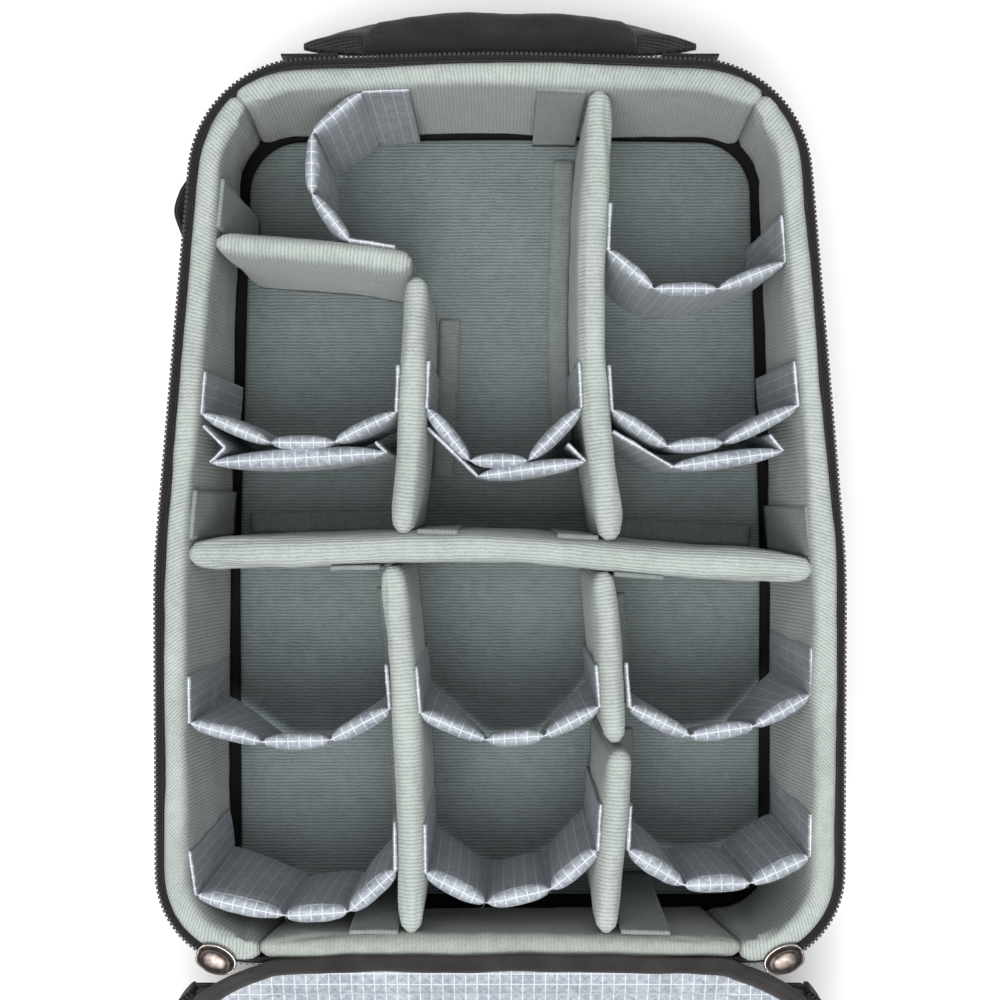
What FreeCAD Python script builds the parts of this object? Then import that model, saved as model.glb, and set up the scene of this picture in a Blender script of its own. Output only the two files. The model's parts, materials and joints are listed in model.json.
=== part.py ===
import FreeCAD, Part
import math
import os

# Padded camera bag lying on its back with its front panel folded open.
# X runs across the bag, Y towards the carrying handle, Z up out of the mouth.
# The origin is the middle of the back face, on the surface that the bag lies on.
# All sizes are in millimetres.

Vector = FreeCAD.Vector

# ---- heights above the resting surface ----
back_pad_top = 14.0
board_top = 16.5
lining_top = 18.0
floor_pad_top = 28.0
flap_bottom = 28.4
flap_top = 30.6
divider_top = 169.0
wrap_top = 167.0
rim_top = 173.0

# ---- outline of the zip line: corner x, corner y and corner radius, from lower right ----
rim_half = [(168.0, -226.0, 46.0), (169.0, -30.0, 400.0), (147.6, 216.5, 58.0)]
rim_crown = (0.0, 221.5, 900.0)
base_half = [(169.0, -246.0, 46.0), (170.0, -30.0, 400.0), (164.0, 229.0, 50.0)]
base_crown = (0.0, 231.0, 900.0)

# ---- layers of the side wall, measured inwards from the zip line ----
skin_outer = 2.0
skin_inner = 3.4
pad_outer = 3.5
pad_inner = 13.5
tape_outer = 1.2
tape_bottom = 170.6
tape_top = 172.9
skin_top = 170.4
tooth_reach = 1.0
tooth_bottom = 171.6
seam_gap = 0.5
beyond = 300.0
back_pad_inset = 9.0
floor_pad_gap = 7.0
bottom_pad_half = 118.0
bottom_pad_limit_y = -150.0
corner_seam_slope = 1.09
corner_seam_apex = 60.0

# ---- zip sliders ----
zip_end_angle = 80.0
slider_angle = 68.0
slider_half_angle = 12.0
slider_inner_radius = 45.6
slider_outer_radius = 49.0
slider_web_radius = 47.6
slider_bottom = 169.2
slider_lower_plate_top = 171.2
slider_upper_plate_bottom = 173.4
slider_top = 175.2
slider_dome_length = 19.0
slider_dome_width = 12.0
dome_waist = 0.72
lug_thickness = 1.4
lug_height = 3.6
lug_clearance = 1.2
pull_radius = 51.4
pull_pivot_height = 171.0
pull_length = 24.0
pull_width = 7.0
pull_thickness = 1.6
pull_slot_margin = 1.7

# ---- front panel (lid) and its hinge ----
hinge_y = -228.0
hinge_z = 173.25
hinge_rod_radius = 1.6
hinge_half_length = 116.0
hinge_web = [(-0.9, -1.1), (3.4, -4.8), (3.4, -3.1), (0.6, -0.6)]
lid_slope = 20.7
lid_face_drop = 0.5
flange_start = 2.3
flange_thickness = 1.0
lining_clearance = 0.1
lid_panel_start = 18.0
lid_lining_start = 9.0
lid_lining_inset = 6.5
lid_lining_thickness = 1.2
lid_foam_thickness = 11.0
lid_board_thickness = 1.2
lid_cover_thickness = 2.0
lid_edge_inset = 1.8
lid_edge_thickness = 1.6
lid_zip_angle = 48.0
binding_width = 3.4
binding_rise = 0.3

# ---- carrying handle ----
handle_pivot_y = 226.6
handle_pivot_z = 158.0
handle_tilt = 40.0
grip_half_length = 68.0
grip_reach = 36.0
grip_crown = 7.0
grip_thickness = 9.0
strap_thickness = 2.5
strap_end_x = 100.0
strap_end_reach = 6.0
strap_root_reach = 24.0
anchor_inner_x = 80.0
anchor_outer_x = 108.0
anchor_height = 22.0
anchor_thickness = 1.4
anchor_gap = 0.1

# ---- webbing loop on the left side ----
loop_low_y = 126.0
loop_high_y = 167.0
loop_low_z = 140.0
loop_high_z = 160.0
loop_reach = 7.0
loop_thickness = 2.2
loop_foot = 8.0
loop_wall_gap = 0.9

# ---- dividers: centre lines seen from above ----
pad_thickness = 12.0
main_pad_thickness = 13.5
wall_clearance = 1.3
end_clearance = 1.6
tab_thickness = 2.4
tab_gap = 0.4
tab_length = 24.0
tab_foot = 32.0
tab_top = 167.0
short_tab_length = 20.0
flap_width = 12.0
face_gap = 0.5

# ---- removable wraps ----
wrap_tab_thickness = 2.0
wrap_thin = 6.0
wrap_medium = 7.2
wrap_thick = 8.3
back_layer_top = 166.0
link_thickness = 1.8
wrap_end_gap = 0.5
wrap_face_gap = 0.5
wrap_bottom = 42.0
lower_row_lean = 17.0
bottom_row_lean = 7.0


# ---------------------------------------------------------------- plan geometry

def left_of(direction):
    """Unit vector to the left of a direction in plan."""
    length = math.hypot(direction.x, direction.y)
    return Vector(-direction.y / length, direction.x / length, 0)


def mirrored_outline(half, crown):
    """Whole outline, anticlockwise, from its right half and the corner on the centre line."""
    left_half = [(-x, y, radius) for x, y, radius in reversed(half)]
    return half + [crown] + left_half


rim_outline = mirrored_outline(rim_half, rim_crown)
base_outline = mirrored_outline(base_half, base_crown)


def outline_at(height):
    """Outline of the zip line carried down the sloping walls to a height."""
    share = (rim_top - height) / (rim_top - lining_top)
    corners = []
    for rim, base in zip(rim_outline, base_outline):
        corners.append(tuple(r + (b - r) * share for r, b in zip(rim, base)))
    return corners


def inset(corners, distance):
    """Outline moved inwards by a distance, with corner radii that keep it parallel."""
    count = len(corners)
    moved = []
    for index, (x, y, radius) in enumerate(corners):
        before = corners[index - 1]
        after = corners[(index + 1) % count]
        normal_in = left_of(Vector(x - before[0], y - before[1], 0))
        normal_out = left_of(Vector(after[0] - x, after[1] - y, 0))
        mitre = (normal_in + normal_out) / (1 + normal_in.dot(normal_out))
        moved.append((x + mitre.x * distance, y + mitre.y * distance, radius - distance))
    return moved


def outline_wire(corners, height):
    """Closed wire of straight runs joined by tangent corner arcs."""
    count = len(corners)
    arcs = []
    for index, (x, y, radius) in enumerate(corners):
        corner = Vector(x, y, height)
        before = corners[index - 1]
        after = corners[(index + 1) % count]
        along_in = Vector(x - before[0], y - before[1], 0).normalize()
        along_out = Vector(after[0] - x, after[1] - y, 0).normalize()
        turn = along_in.getAngle(along_out)
        tangent = radius * math.tan(turn / 2)
        start = corner - along_in * tangent
        end = corner + along_out * tangent
        centre = start + left_of(along_in) * radius
        middle = centre + (corner - centre).normalize() * radius
        arcs.append((start, middle, end))
    edges = []
    for index, (start, middle, end) in enumerate(arcs):
        edges.append(Part.Arc(start, middle, end).toShape())
        following = arcs[(index + 1) % count][0]
        edges.append(Part.LineSegment(end, following).toShape())
    return Part.Wire(edges)


def sloping_block(distance, low, high):
    """Solid inside the walls' outline, inset by a distance, between two heights."""
    wires = []
    for height in (low, high):
        wires.append(outline_wire(inset(outline_at(height), distance), height))
    return Part.makeLoft(wires, True, True)


def sloping_ring(outer, inner, low, high):
    """Band that follows the walls between two insets and two heights."""
    return sloping_block(outer, low, high).cut(sloping_block(inner, low, high))


def prism(points, low, high):
    """Upright solid on a polygon given as plan points."""
    corners = [Vector(point.x, point.y, low) for point in points]
    corners.append(corners[0])
    return Part.Face(Part.makePolygon(corners)).extrude(Vector(0, 0, high - low))


def box(low, high):
    """Box between two corners."""
    size = [b - a for a, b in zip(low, high)]
    return Part.makeBox(size[0], size[1], size[2], Vector(*low))


def path_point(points, index, distance):
    """Path point moved to the left of travel by a distance, on the mitre of its runs."""
    last = len(points) - 1
    before = left_of(points[max(index, 1)] - points[max(index, 1) - 1])
    after = left_of(points[min(index + 1, last)] - points[min(index + 1, last) - 1])
    mitre = (before + after) / (1 + before.dot(after))
    return points[index] + mitre * distance


def band(points, right, left, low, high):
    """Upright solid between two lines parallel to a path; distances are to its left."""
    indices = range(len(points))
    right_line = [path_point(points, index, right) for index in indices]
    left_line = [path_point(points, index, left) for index in indices]
    return prism(right_line + left_line[::-1], low, high)


def plan(*pairs):
    """Plan points from pairs of x and y."""
    return [Vector(x, y, 0) for x, y in pairs]


def arc_edge(start, middle, end):
    """Edge of an arc through three points."""
    return Part.Arc(start, middle, end).toShape()


def corner_centre():
    """Centre of the lower right corner's arc in the zip line."""
    x, y, radius = rim_half[0]
    return Vector(x - radius, y + radius, 0)


def inner_face_x(y):
    """Half-width between the side wall pads at the rim."""
    lower = rim_half[0]
    bend = rim_half[1]
    upper = rim_half[2]
    corner = corner_centre()
    if y < corner.y:
        return corner.x + math.sqrt((lower[2] - pad_inner) ** 2 - (corner.y - y) ** 2)
    if y < bend[1]:
        first, second = lower, bend
    else:
        first, second = bend, upper
    share = (y - first[1]) / (second[1] - first[1])
    return first[0] + (second[0] - first[0]) * share - pad_inner


def inner_face_top_y(x):
    """Y of the top wall pad's inner face at the rim."""
    upper = rim_half[2]
    slope = (rim_crown[1] - upper[1]) / upper[0]
    return rim_crown[1] - slope * abs(x) - pad_inner


inner_face_bottom_y = rim_half[0][1] + pad_inner


# ---------------------------------------------------------------- bag body

def back_pad():
    """Flat foam pad on the wearer's side."""
    wire = outline_wire(inset(outline_at(lining_top), back_pad_inset), 0)
    return Part.Face(wire).extrude(Vector(0, 0, back_pad_top))


def level_sheet(distance, low, high):
    """Flat sheet under the compartment, inset from the base outline."""
    wire = outline_wire(inset(outline_at(lining_top), distance), low)
    return Part.Face(wire).extrude(Vector(0, 0, high - low))


def shell_skin():
    """Outer fabric band round the four sides."""
    return sloping_ring(skin_outer, skin_inner, back_pad_top, skin_top)


def top_wedge():
    """Space over the top wall, bounded by the seams in the two upper corners."""
    rise = beyond * corner_seam_slope
    return prism(
        plan((0, corner_seam_apex), (beyond, corner_seam_apex + rise), (-beyond, corner_seam_apex + rise)),
        0,
        rim_top + 1,
    )


def bottom_block(half_width):
    """Space over the straight stretch of the bottom wall, to a half width."""
    return box((-half_width, -beyond, 0), (half_width, bottom_pad_limit_y, beyond))


def wall_pads():
    """Foam wall pads: a strip round three sides with two corner seams, and a bottom pad."""
    ring = sloping_ring(pad_outer, pad_inner, lining_top, rim_top)
    bottom = ring.common(bottom_block(bottom_pad_half))
    strip = ring.cut(bottom_block(bottom_pad_half + seam_gap))
    sides = strip.cut(top_wedge())
    left = sides.common(box((-beyond, -beyond, 0), (0, beyond, beyond)))
    right = sides.common(box((0, -beyond, 0), (beyond, beyond, beyond)))
    return {
        "wall_pad_left": left,
        "wall_pad_top": strip.common(top_wedge()),
        "wall_pad_right": right,
        "wall_pad_bottom": bottom,
    }


def floor_pad():
    """Foam sheet on the compartment's floor, short of the walls all round."""
    wire = outline_wire(inset(outline_at(floor_pad_top), pad_inner + floor_pad_gap), lining_top)
    return Part.Face(wire).extrude(Vector(0, 0, floor_pad_top - lining_top))


def zip_gap(angle):
    """Space round the hinge where a zip chain is left out, up to an angle of the corners."""
    radius = rim_half[0][2]
    centre = corner_centre()
    reach = radius * 2
    end_x = centre.x + reach * math.cos(math.radians(angle))
    end_y = centre.y - reach * math.sin(math.radians(angle))
    return prism(
        plan((centre.x, centre.y), (-centre.x, centre.y), (-end_x, end_y), (end_x, end_y)),
        0,
        rim_top + 10,
    )


def zip_tape():
    """Zip tape that stands on top of the outer skin, outside the wall pads."""
    ring = sloping_ring(tape_outer, skin_inner, tape_bottom, tape_top)
    return ring.cut(zip_gap(zip_end_angle))


def zip_teeth():
    """Row of zip teeth as one bead round the outer edge."""
    ring = sloping_ring(-tooth_reach, tape_outer, tooth_bottom, rim_top)
    return ring.cut(zip_gap(zip_end_angle))


def hinge_piping():
    """Corded seam on the fold line, with the web that sews it to the bottom wall."""
    axis_start = Vector(-hinge_half_length, hinge_y, hinge_z)
    length = 2 * hinge_half_length
    rod = Part.makeCylinder(hinge_rod_radius, length, axis_start, Vector(1, 0, 0))
    corners = [axis_start + Vector(0, y, z) for y, z in hinge_web]
    corners.append(corners[0])
    web = Part.Face(Part.makePolygon(corners)).extrude(Vector(length, 0, 0))
    return rod.fuse(web).removeSplitter()


# ---------------------------------------------------------------- carrying handle

def top_wall_y(height):
    """Y of the outer skin in the middle of the top wall."""
    share = (rim_top - height) / (rim_top - lining_top)
    return rim_crown[1] + (base_crown[1] - rim_crown[1]) * share - skin_outer


def handle_anchors():
    """Two webbing patches sewn to the top wall, one under each end of the handle."""
    low = handle_pivot_z - anchor_height / 2
    high = handle_pivot_z + anchor_height / 2
    front = top_wall_y(low) + anchor_gap
    patches = []
    for side in (-1, 1):
        edges = sorted((side * anchor_inner_x, side * anchor_outer_x))
        patches.append(box((edges[0], front, low), (edges[1], front + anchor_thickness, high)))
    return Part.makeCompound(patches)


def handle_frame(shape):
    """Turn a shape drawn flat (x across, y outwards, z through) into the handle's rest place."""
    placed = shape.copy()
    placed.rotate(Vector(0, 0, 0), Vector(1, 0, 0), -handle_tilt)
    placed.translate(Vector(0, handle_pivot_y, handle_pivot_z))
    return placed


def handle_grip():
    """Padded grip, bowed outwards in the middle, hinging on its rounded inner edge."""
    half = grip_thickness / 2
    outer_left = Vector(-grip_half_length, grip_reach - grip_crown, -half)
    outer_right = Vector(grip_half_length, grip_reach - grip_crown, -half)
    edges = [
        Part.LineSegment(Vector(-grip_half_length, 0, -half), Vector(grip_half_length, 0, -half)).toShape(),
        Part.LineSegment(Vector(grip_half_length, 0, -half), outer_right).toShape(),
        arc_edge(outer_right, Vector(0, grip_reach, -half), outer_left),
        Part.LineSegment(outer_left, Vector(-grip_half_length, 0, -half)).toShape(),
    ]
    slab = Part.Face(Part.Wire(edges)).extrude(Vector(0, 0, grip_thickness))
    roll = Part.makeCylinder(half, 2 * grip_half_length, Vector(-grip_half_length, 0, 0), Vector(1, 0, 0))
    return handle_frame(slab.fuse(roll).removeSplitter())


def handle_webbing():
    """Webbing ends that run from the grip down to the anchors."""
    low = -strap_thickness / 2
    ends = []
    for side in (-1, 1):
        root = side * grip_half_length
        tip = side * strap_end_x
        corners = plan((root, 0), (tip, 0), (tip, strap_end_reach), (root, strap_root_reach))
        ends.append(prism(corners, low, low + strap_thickness))
    return handle_frame(Part.makeCompound(ends))


def side_wall_x(y, height):
    """Distance from the centre line to the outer skin of a side wall."""
    share = (rim_top - height) / (rim_top - lining_top)
    upper_share = (y - rim_half[1][1]) / (rim_half[2][1] - rim_half[1][1])
    at_rim = rim_half[1][0] + (rim_half[2][0] - rim_half[1][0]) * upper_share
    at_base = base_half[1][0] + (base_half[2][0] - base_half[1][0]) * upper_share
    return at_rim + (at_base - at_rim) * share - skin_outer


def side_loop():
    """Webbing loop bowed out from the left wall, sewn down at both ends."""
    middle_y = (loop_low_y + loop_high_y) / 2
    root_low = side_wall_x(loop_low_y, loop_low_z) + loop_wall_gap
    root_high = side_wall_x(loop_high_y, loop_low_z) + loop_wall_gap
    top = (root_low + root_high) / 2 + loop_reach
    outer = arc_edge(
        Vector(-root_low - loop_thickness, loop_low_y, loop_low_z),
        Vector(-top, middle_y, loop_low_z),
        Vector(-root_high - loop_thickness, loop_high_y, loop_low_z),
    )
    inner = arc_edge(
        Vector(-root_high, loop_high_y - loop_foot, loop_low_z),
        Vector(-top + loop_thickness, middle_y, loop_low_z),
        Vector(-root_low, loop_low_y + loop_foot, loop_low_z),
    )
    high_foot = [
        Vector(-root_high - loop_thickness, loop_high_y, loop_low_z),
        Vector(-root_high, loop_high_y, loop_low_z),
        Vector(-root_high, loop_high_y - loop_foot, loop_low_z),
    ]
    low_foot = [
        Vector(-root_low, loop_low_y + loop_foot, loop_low_z),
        Vector(-root_low, loop_low_y, loop_low_z),
        Vector(-root_low - loop_thickness, loop_low_y, loop_low_z),
    ]
    wire = Part.Wire([outer, Part.makePolygon(high_foot), inner, Part.makePolygon(low_foot)])
    return Part.Face(wire).extrude(Vector(0, 0, loop_high_z - loop_low_z))


# ---------------------------------------------------------------- zip sliders

def slider_place(radius):
    """Point on the lower right corner's arc at the slider's rest angle."""
    angle = math.radians(-slider_angle)
    return corner_centre() + Vector(math.cos(angle), math.sin(angle), 0) * radius


def mirror_for(shape, side):
    """Right-hand shape, or its mirror image for the left."""
    if side > 0:
        return shape
    return shape.mirror(Vector(0, 0, 0), Vector(1, 0, 0))


def slider_sector(inner, outer, low, high):
    """Part of a ring about the lower right corner, over the slider's length."""
    start = -slider_angle - slider_half_angle
    section = [
        Vector(inner, 0, low),
        Vector(outer, 0, low),
        Vector(outer, 0, high),
        Vector(inner, 0, high),
        Vector(inner, 0, low),
    ]
    face = Part.Face(Part.makePolygon(section))
    sector = face.revolve(Vector(0, 0, 0), Vector(0, 0, 1), 2 * slider_half_angle)
    sector.rotate(Vector(0, 0, 0), Vector(0, 0, 1), start)
    sector.translate(corner_centre())
    return sector


def slider_dome():
    """Teardrop upper plate, wide towards the open chain and pointed towards the hinge."""
    half_length = slider_dome_length / 2
    half_width = slider_dome_width / 2
    wide = half_length - half_width
    tip = Vector(-half_length, 0, 0)
    upper = Vector(wide / 2, half_width, 0)
    lower = Vector(wide / 2, -half_width, 0)
    nose = Vector(half_length, 0, 0)
    edges = [
        arc_edge(tip, Vector(-half_length / 2, half_width * dome_waist, 0), upper),
        arc_edge(upper, nose, lower),
        arc_edge(lower, Vector(-half_length / 2, -half_width * dome_waist, 0), tip),
    ]
    plate = Part.Face(Part.Wire(edges)).extrude(Vector(0, 0, slider_top - slider_upper_plate_bottom))
    plate.rotate(Vector(0, 0, 0), Vector(0, 0, 1), 90 - slider_angle)
    place = slider_place(rim_half[0][2])
    plate.translate(Vector(place.x, place.y, slider_upper_plate_bottom))
    return plate


def slider_bail():
    """Two lugs on the slider's outer side that the pull hangs between."""
    along = Vector(math.sin(math.radians(slider_angle)), math.cos(math.radians(slider_angle)), 0)
    span = pull_radius - slider_outer_radius + lug_clearance
    spacing = pull_width / 2 + lug_clearance
    lugs = []
    for end in (-1, 1):
        middle = slider_place(slider_outer_radius + span / 2 - seam_gap) + along * end * spacing
        lug = Part.makeBox(lug_thickness, span, lug_height)
        lug.translate(Vector(-lug_thickness / 2, -span / 2, -lug_height / 2))
        lug.rotate(Vector(0, 0, 0), Vector(0, 0, 1), 90 - slider_angle)
        lug.translate(Vector(middle.x, middle.y, pull_pivot_height))
        lugs.append(lug)
    return lugs


def zip_slider(side):
    """Metal slider that wraps the chain from outside, with its bail."""
    lower = slider_sector(slider_inner_radius, slider_outer_radius, slider_bottom, slider_lower_plate_top)
    web = slider_sector(slider_web_radius, slider_outer_radius, slider_bottom, slider_top)
    body = slider_dome().fuse([lower, web] + slider_bail()).removeSplitter()
    return mirror_for(body, side)


def zip_pull(side):
    """Pull tab hanging outside the bag from the slider's bail."""
    half = pull_width / 2
    tab = Part.makeBox(pull_width, pull_thickness, pull_length)
    tab.translate(Vector(-half, -pull_thickness / 2, -pull_length))
    roll = Part.makeCylinder(pull_thickness / 2, pull_width, Vector(-half, 0, 0), Vector(1, 0, 0))
    slot = Part.makeBox(pull_width - 2 * pull_slot_margin, pull_thickness * 2, pull_length / 4)
    slot.translate(Vector(-half + pull_slot_margin, -pull_thickness, -pull_length + pull_slot_margin))
    pull = tab.fuse(roll).removeSplitter().cut(slot)
    pull.rotate(Vector(0, 0, 0), Vector(0, 0, 1), 90 - slider_angle)
    place = slider_place(pull_radius)
    pull.translate(Vector(place.x, place.y, pull_pivot_height))
    return mirror_for(pull, side)


# ---------------------------------------------------------------- front panel (lid)

def lid_outline(distance):
    """Zip line mirrored over the hinge, inset by a distance."""
    mirrored = [(x, 2 * hinge_y - y, radius) for x, y, radius in reversed(rim_outline)]
    return inset(mirrored, distance)


def lid_slab(distance, top, bottom):
    """Flat slab of the lid between two depths below the parting plane, lid laid level."""
    wire = outline_wire(lid_outline(distance), hinge_z - bottom)
    return Part.Face(wire).extrude(Vector(0, 0, bottom - top))


def beyond_hinge(start):
    """Half space on the lid's side, from a distance out from the hinge."""
    return box((-beyond, hinge_y - 2 * beyond, 0), (beyond, hinge_y - start, beyond))


def lid_place(shape):
    """Tilt a shape drawn level into the lid's open rest position."""
    placed = shape.copy()
    placed.rotate(Vector(0, hinge_y, hinge_z), Vector(1, 0, 0), lid_slope)
    return placed


lid_lining_bottom = lid_face_drop + lid_lining_thickness
lid_foam_bottom = lid_lining_bottom + lid_foam_thickness
lid_board_bottom = lid_foam_bottom + lid_board_thickness
lid_cover_bottom = lid_board_bottom + lid_cover_thickness


def lid_core(top, bottom):
    """Inner layer of the lid, held inside its edge band."""
    slab = lid_slab(pad_outer, top, bottom)
    return lid_place(slab.common(beyond_hinge(lid_panel_start)))


def lid_lining():
    """Lining on the lid's inner face, cut back at the corners beside the sliders."""
    slab = lid_slab(lid_lining_inset, lid_face_drop, lid_lining_bottom)
    slab = slab.common(beyond_hinge(lid_lining_start))
    for side in (-1, 1):
        edges = sorted((side * bottom_pad_half, side * beyond))
        slab = slab.cut(box((edges[0], hinge_y - lid_panel_start, 0), (edges[1], hinge_y, beyond)))
    return lid_place(slab)


def lid_binding():
    """Bound seam round the lining's edge."""
    top = lid_face_drop - binding_rise
    outer = lid_slab(lid_lining_inset - binding_width, top, lid_lining_bottom)
    inner = lid_slab(lid_lining_inset, top, lid_lining_bottom)
    return lid_place(outer.cut(inner).common(beyond_hinge(lid_panel_start)))


def lid_cover():
    """Outer fabric panel of the lid."""
    slab = lid_slab(skin_inner, lid_board_bottom, lid_cover_bottom)
    return lid_place(slab.common(beyond_hinge(lid_panel_start)))


def lid_edge_band():
    """Fabric band that closes the lid's edge between the zip and the outer panel."""
    outer = lid_slab(lid_edge_inset, lid_lining_bottom + seam_gap, lid_cover_bottom)
    inner = lid_slab(lid_edge_inset + lid_edge_thickness, lid_lining_bottom + seam_gap, lid_cover_bottom)
    return lid_place(outer.cut(inner).common(beyond_hinge(lid_panel_start)))


def lid_zip_gap():
    """Space round the hinge where the lid's zip chain is left out, lid laid level."""
    gap = zip_gap(lid_zip_angle)
    return gap.mirror(Vector(0, hinge_y, 0), Vector(0, 1, 0))


def lid_zip_tape():
    """Zip tape round the lid's edge."""
    outer = lid_slab(tape_outer, lid_face_drop, lid_lining_bottom)
    inner = lid_slab(lid_lining_inset - binding_width, lid_face_drop, lid_lining_bottom)
    return lid_place(outer.cut(inner).cut(lid_zip_gap()).common(beyond_hinge(0)))


def lid_zip_teeth():
    """Row of zip teeth on the lid as one bead."""
    outer = lid_slab(-tooth_reach, lid_face_drop, lid_lining_bottom)
    inner = lid_slab(tape_outer, lid_face_drop, lid_lining_bottom)
    return lid_place(outer.cut(inner).cut(lid_zip_gap()).common(beyond_hinge(0)))


def lid_flange():
    """Fabric strip from the fold line to the lid's panel."""
    top = hinge_z - lid_lining_bottom - lining_clearance
    low = (-hinge_half_length, hinge_y - lid_panel_start, top - flange_thickness)
    high = (hinge_half_length, hinge_y - flange_start, top)
    return lid_place(box(low, high))


# ---------------------------------------------------------------- dividers

def tab_on_side(side, start_y, end_y):
    """Hook tab lying along a side wall pad."""
    points = []
    for y in (start_y, end_y):
        points.append((side * (inner_face_x(y) - tab_gap - tab_thickness / 2), y))
    return band(plan(*points), -tab_thickness / 2, tab_thickness / 2, tab_foot, tab_top)


def tab_along(points, distance, side):
    """Hook tab lying along another divider's face; distance is from that divider's centre line."""
    near = distance + face_gap
    if side < 0:
        return band(points, -near - tab_thickness, -near, tab_foot, tab_top)
    return band(points, near, near + tab_thickness, tab_foot, tab_top)


def divider_pad(points, thickness):
    """Upright foam divider along a path."""
    return band(points, -thickness / 2, thickness / 2, flap_bottom, divider_top)


def floor_flap(points, thickness, side):
    """Flap along a divider's foot that grips the floor pad."""
    near = thickness / 2
    if side < 0:
        return band(points, -near - flap_width, -near, flap_bottom, flap_top)
    return band(points, near, near + flap_width, flap_bottom, flap_top)


def y_on(points, x):
    """Y of a left-to-right path at x."""
    for first, second in zip(points, points[1:]):
        if x <= second.x or second is points[-1]:
            return first.y + (second.y - first.y) * (x - first.x) / (second.x - first.x)


def x_on(points, y):
    """X of a path that runs down the bag at y."""
    for first, second in zip(points, points[1:]):
        if y >= second.y or second is points[-1]:
            return first.x + (second.x - first.x) * (y - first.y) / (second.y - first.y)


main_left_x = -inner_face_x(-24) + wall_clearance
main_right_x = inner_face_x(-32) - wall_clearance
main_path = plan((main_left_x, -24), (-98, -23), (0, -21), (98, -29), (main_right_x, -32))
main_half = main_pad_thickness / 2
pad_half = pad_thickness / 2


def above_main(x):
    """Y just above the main divider at x."""
    return y_on(main_path, x) + main_half + end_clearance


def below_main(x):
    """Y just below the main divider at x."""
    return y_on(main_path, x) - main_half - end_clearance


right_top_y = inner_face_top_y(49) - wall_clearance
upper_right_path = plan((49, right_top_y), (45.5, 110), (47, 55), (52, 11), (55, above_main(55)))
upper_left_across = plan((-inner_face_x(130) + wall_clearance, 130), (-84, 125), (-44, 119))
upper_left_down = plan((-41.5, 112.5), (-43, 64), (-45, 20), (-48, above_main(-48)))
lower_end_y = inner_face_bottom_y + wall_clearance
lower_left_path = plan((-53, below_main(-53)), (-50, -66), (-45, -127), (-44, lower_end_y))
lower_right_upper = plan((50, below_main(50)), (54, -66), (58, -117))
lower_right_lower = plan((58, -121), (57, -156), (53, lower_end_y))


def main_divider_flaps():
    """Wall tabs and floor flaps of the main divider."""
    left_y = main_path[0].y + main_half + seam_gap
    right_y = main_path[-1].y + main_half + seam_gap
    left_floor = plan((-142, -24), (-98, -23), (-58, -22))
    right_floor = plan((64, -26), (98, -29), (142, -31))
    return [
        tab_on_side(-1, left_y, left_y + tab_length),
        tab_on_side(1, right_y, right_y + tab_length),
        floor_flap(left_floor, main_pad_thickness + 1, 1),
        floor_flap(right_floor, main_pad_thickness + 1, 1),
    ]


def short_run(points, start_x, end_x):
    """Two plan points on the main divider's centre line."""
    return plan((start_x, y_on(points, start_x)), (end_x, y_on(points, end_x)))


def upper_right_flaps():
    """Tabs and floor flap of the divider between the handle end and the main divider."""
    top_edge = []
    tab_end = upper_right_path[0].x - pad_half - seam_gap
    for x in (tab_end - tab_length, tab_end):
        top_edge.append((x, inner_face_top_y(x) - tab_gap - tab_thickness / 2))
    top_tab = band(plan(*top_edge), -tab_thickness / 2, tab_thickness / 2, tab_foot, tab_top)
    foot = x_on(upper_right_path, upper_right_path[-1].y + tab_thickness) - pad_half - 2 * seam_gap
    bottom_tab = tab_along(short_run(main_path, foot - short_tab_length, foot), main_half, 1)
    floor_run = plan((49, 196), (45.5, 110), (47, 55), (51, 18))
    return [top_tab, bottom_tab, floor_flap(floor_run, pad_thickness + 1, -1)]


def upper_left_flaps():
    """Tabs and floor flap of the L-shaped divider."""
    wall_start = upper_left_across[0].y + pad_half + 2 * seam_gap
    wall_tab = tab_on_side(-1, wall_start, wall_start + tab_length)
    foot = x_on(upper_left_down, upper_left_down[-1].y + tab_thickness) + pad_half + 2 * seam_gap
    bottom_tab = tab_along(short_run(main_path, foot, foot + short_tab_length), main_half, 1)
    floor_run = plan((-41, 106), (-42.5, 64), (-45, 16))
    return [wall_tab, bottom_tab, floor_flap(floor_run, pad_thickness + 1, 1)]


def lower_left_flaps():
    """Tabs and floor flap of the divider in the lower left."""
    head = lower_left_path[0].x - pad_half - 2 * seam_gap
    top_tab = tab_along(short_run(main_path, head - tab_length, head), main_half, -1)
    foot = lower_left_path[-1].x - pad_half - seam_gap
    low_y = inner_face_bottom_y + tab_gap
    bottom_tab = box(
        (foot - tab_length, low_y, tab_foot),
        (foot, low_y + tab_thickness, tab_top),
    )
    floor_run = plan((-52, -46), (-50, -66), (-45, -127), (-44, -200))
    return [top_tab, bottom_tab, floor_flap(floor_run, pad_thickness + 1, -1)]


def lower_right_flaps():
    """Tabs and floor flaps of the divider in the lower right, one flap to each section."""
    head = x_on(lower_right_upper, lower_right_upper[0].y - tab_thickness) + pad_half + 2 * seam_gap
    top_tab = tab_along(short_run(main_path, head, head + tab_length), main_half, -1)
    foot = lower_right_lower[-1].x + pad_half + 2 * seam_gap
    low_y = inner_face_bottom_y + tab_gap
    bottom_tab = box(
        (foot, low_y, tab_foot),
        (foot + tab_length, low_y + tab_thickness, tab_top),
    )
    upper_run = plan((53, -52), (54, -66), (57, -104))
    lower_run = plan((57.5, -128), (57, -156), (54, -200))
    return [
        top_tab,
        bottom_tab,
        floor_flap(upper_run, pad_thickness + 1, 1),
        floor_flap(lower_run, pad_thickness + 1, 1),
    ]


# ---------------------------------------------------------------- removable wraps

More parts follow.
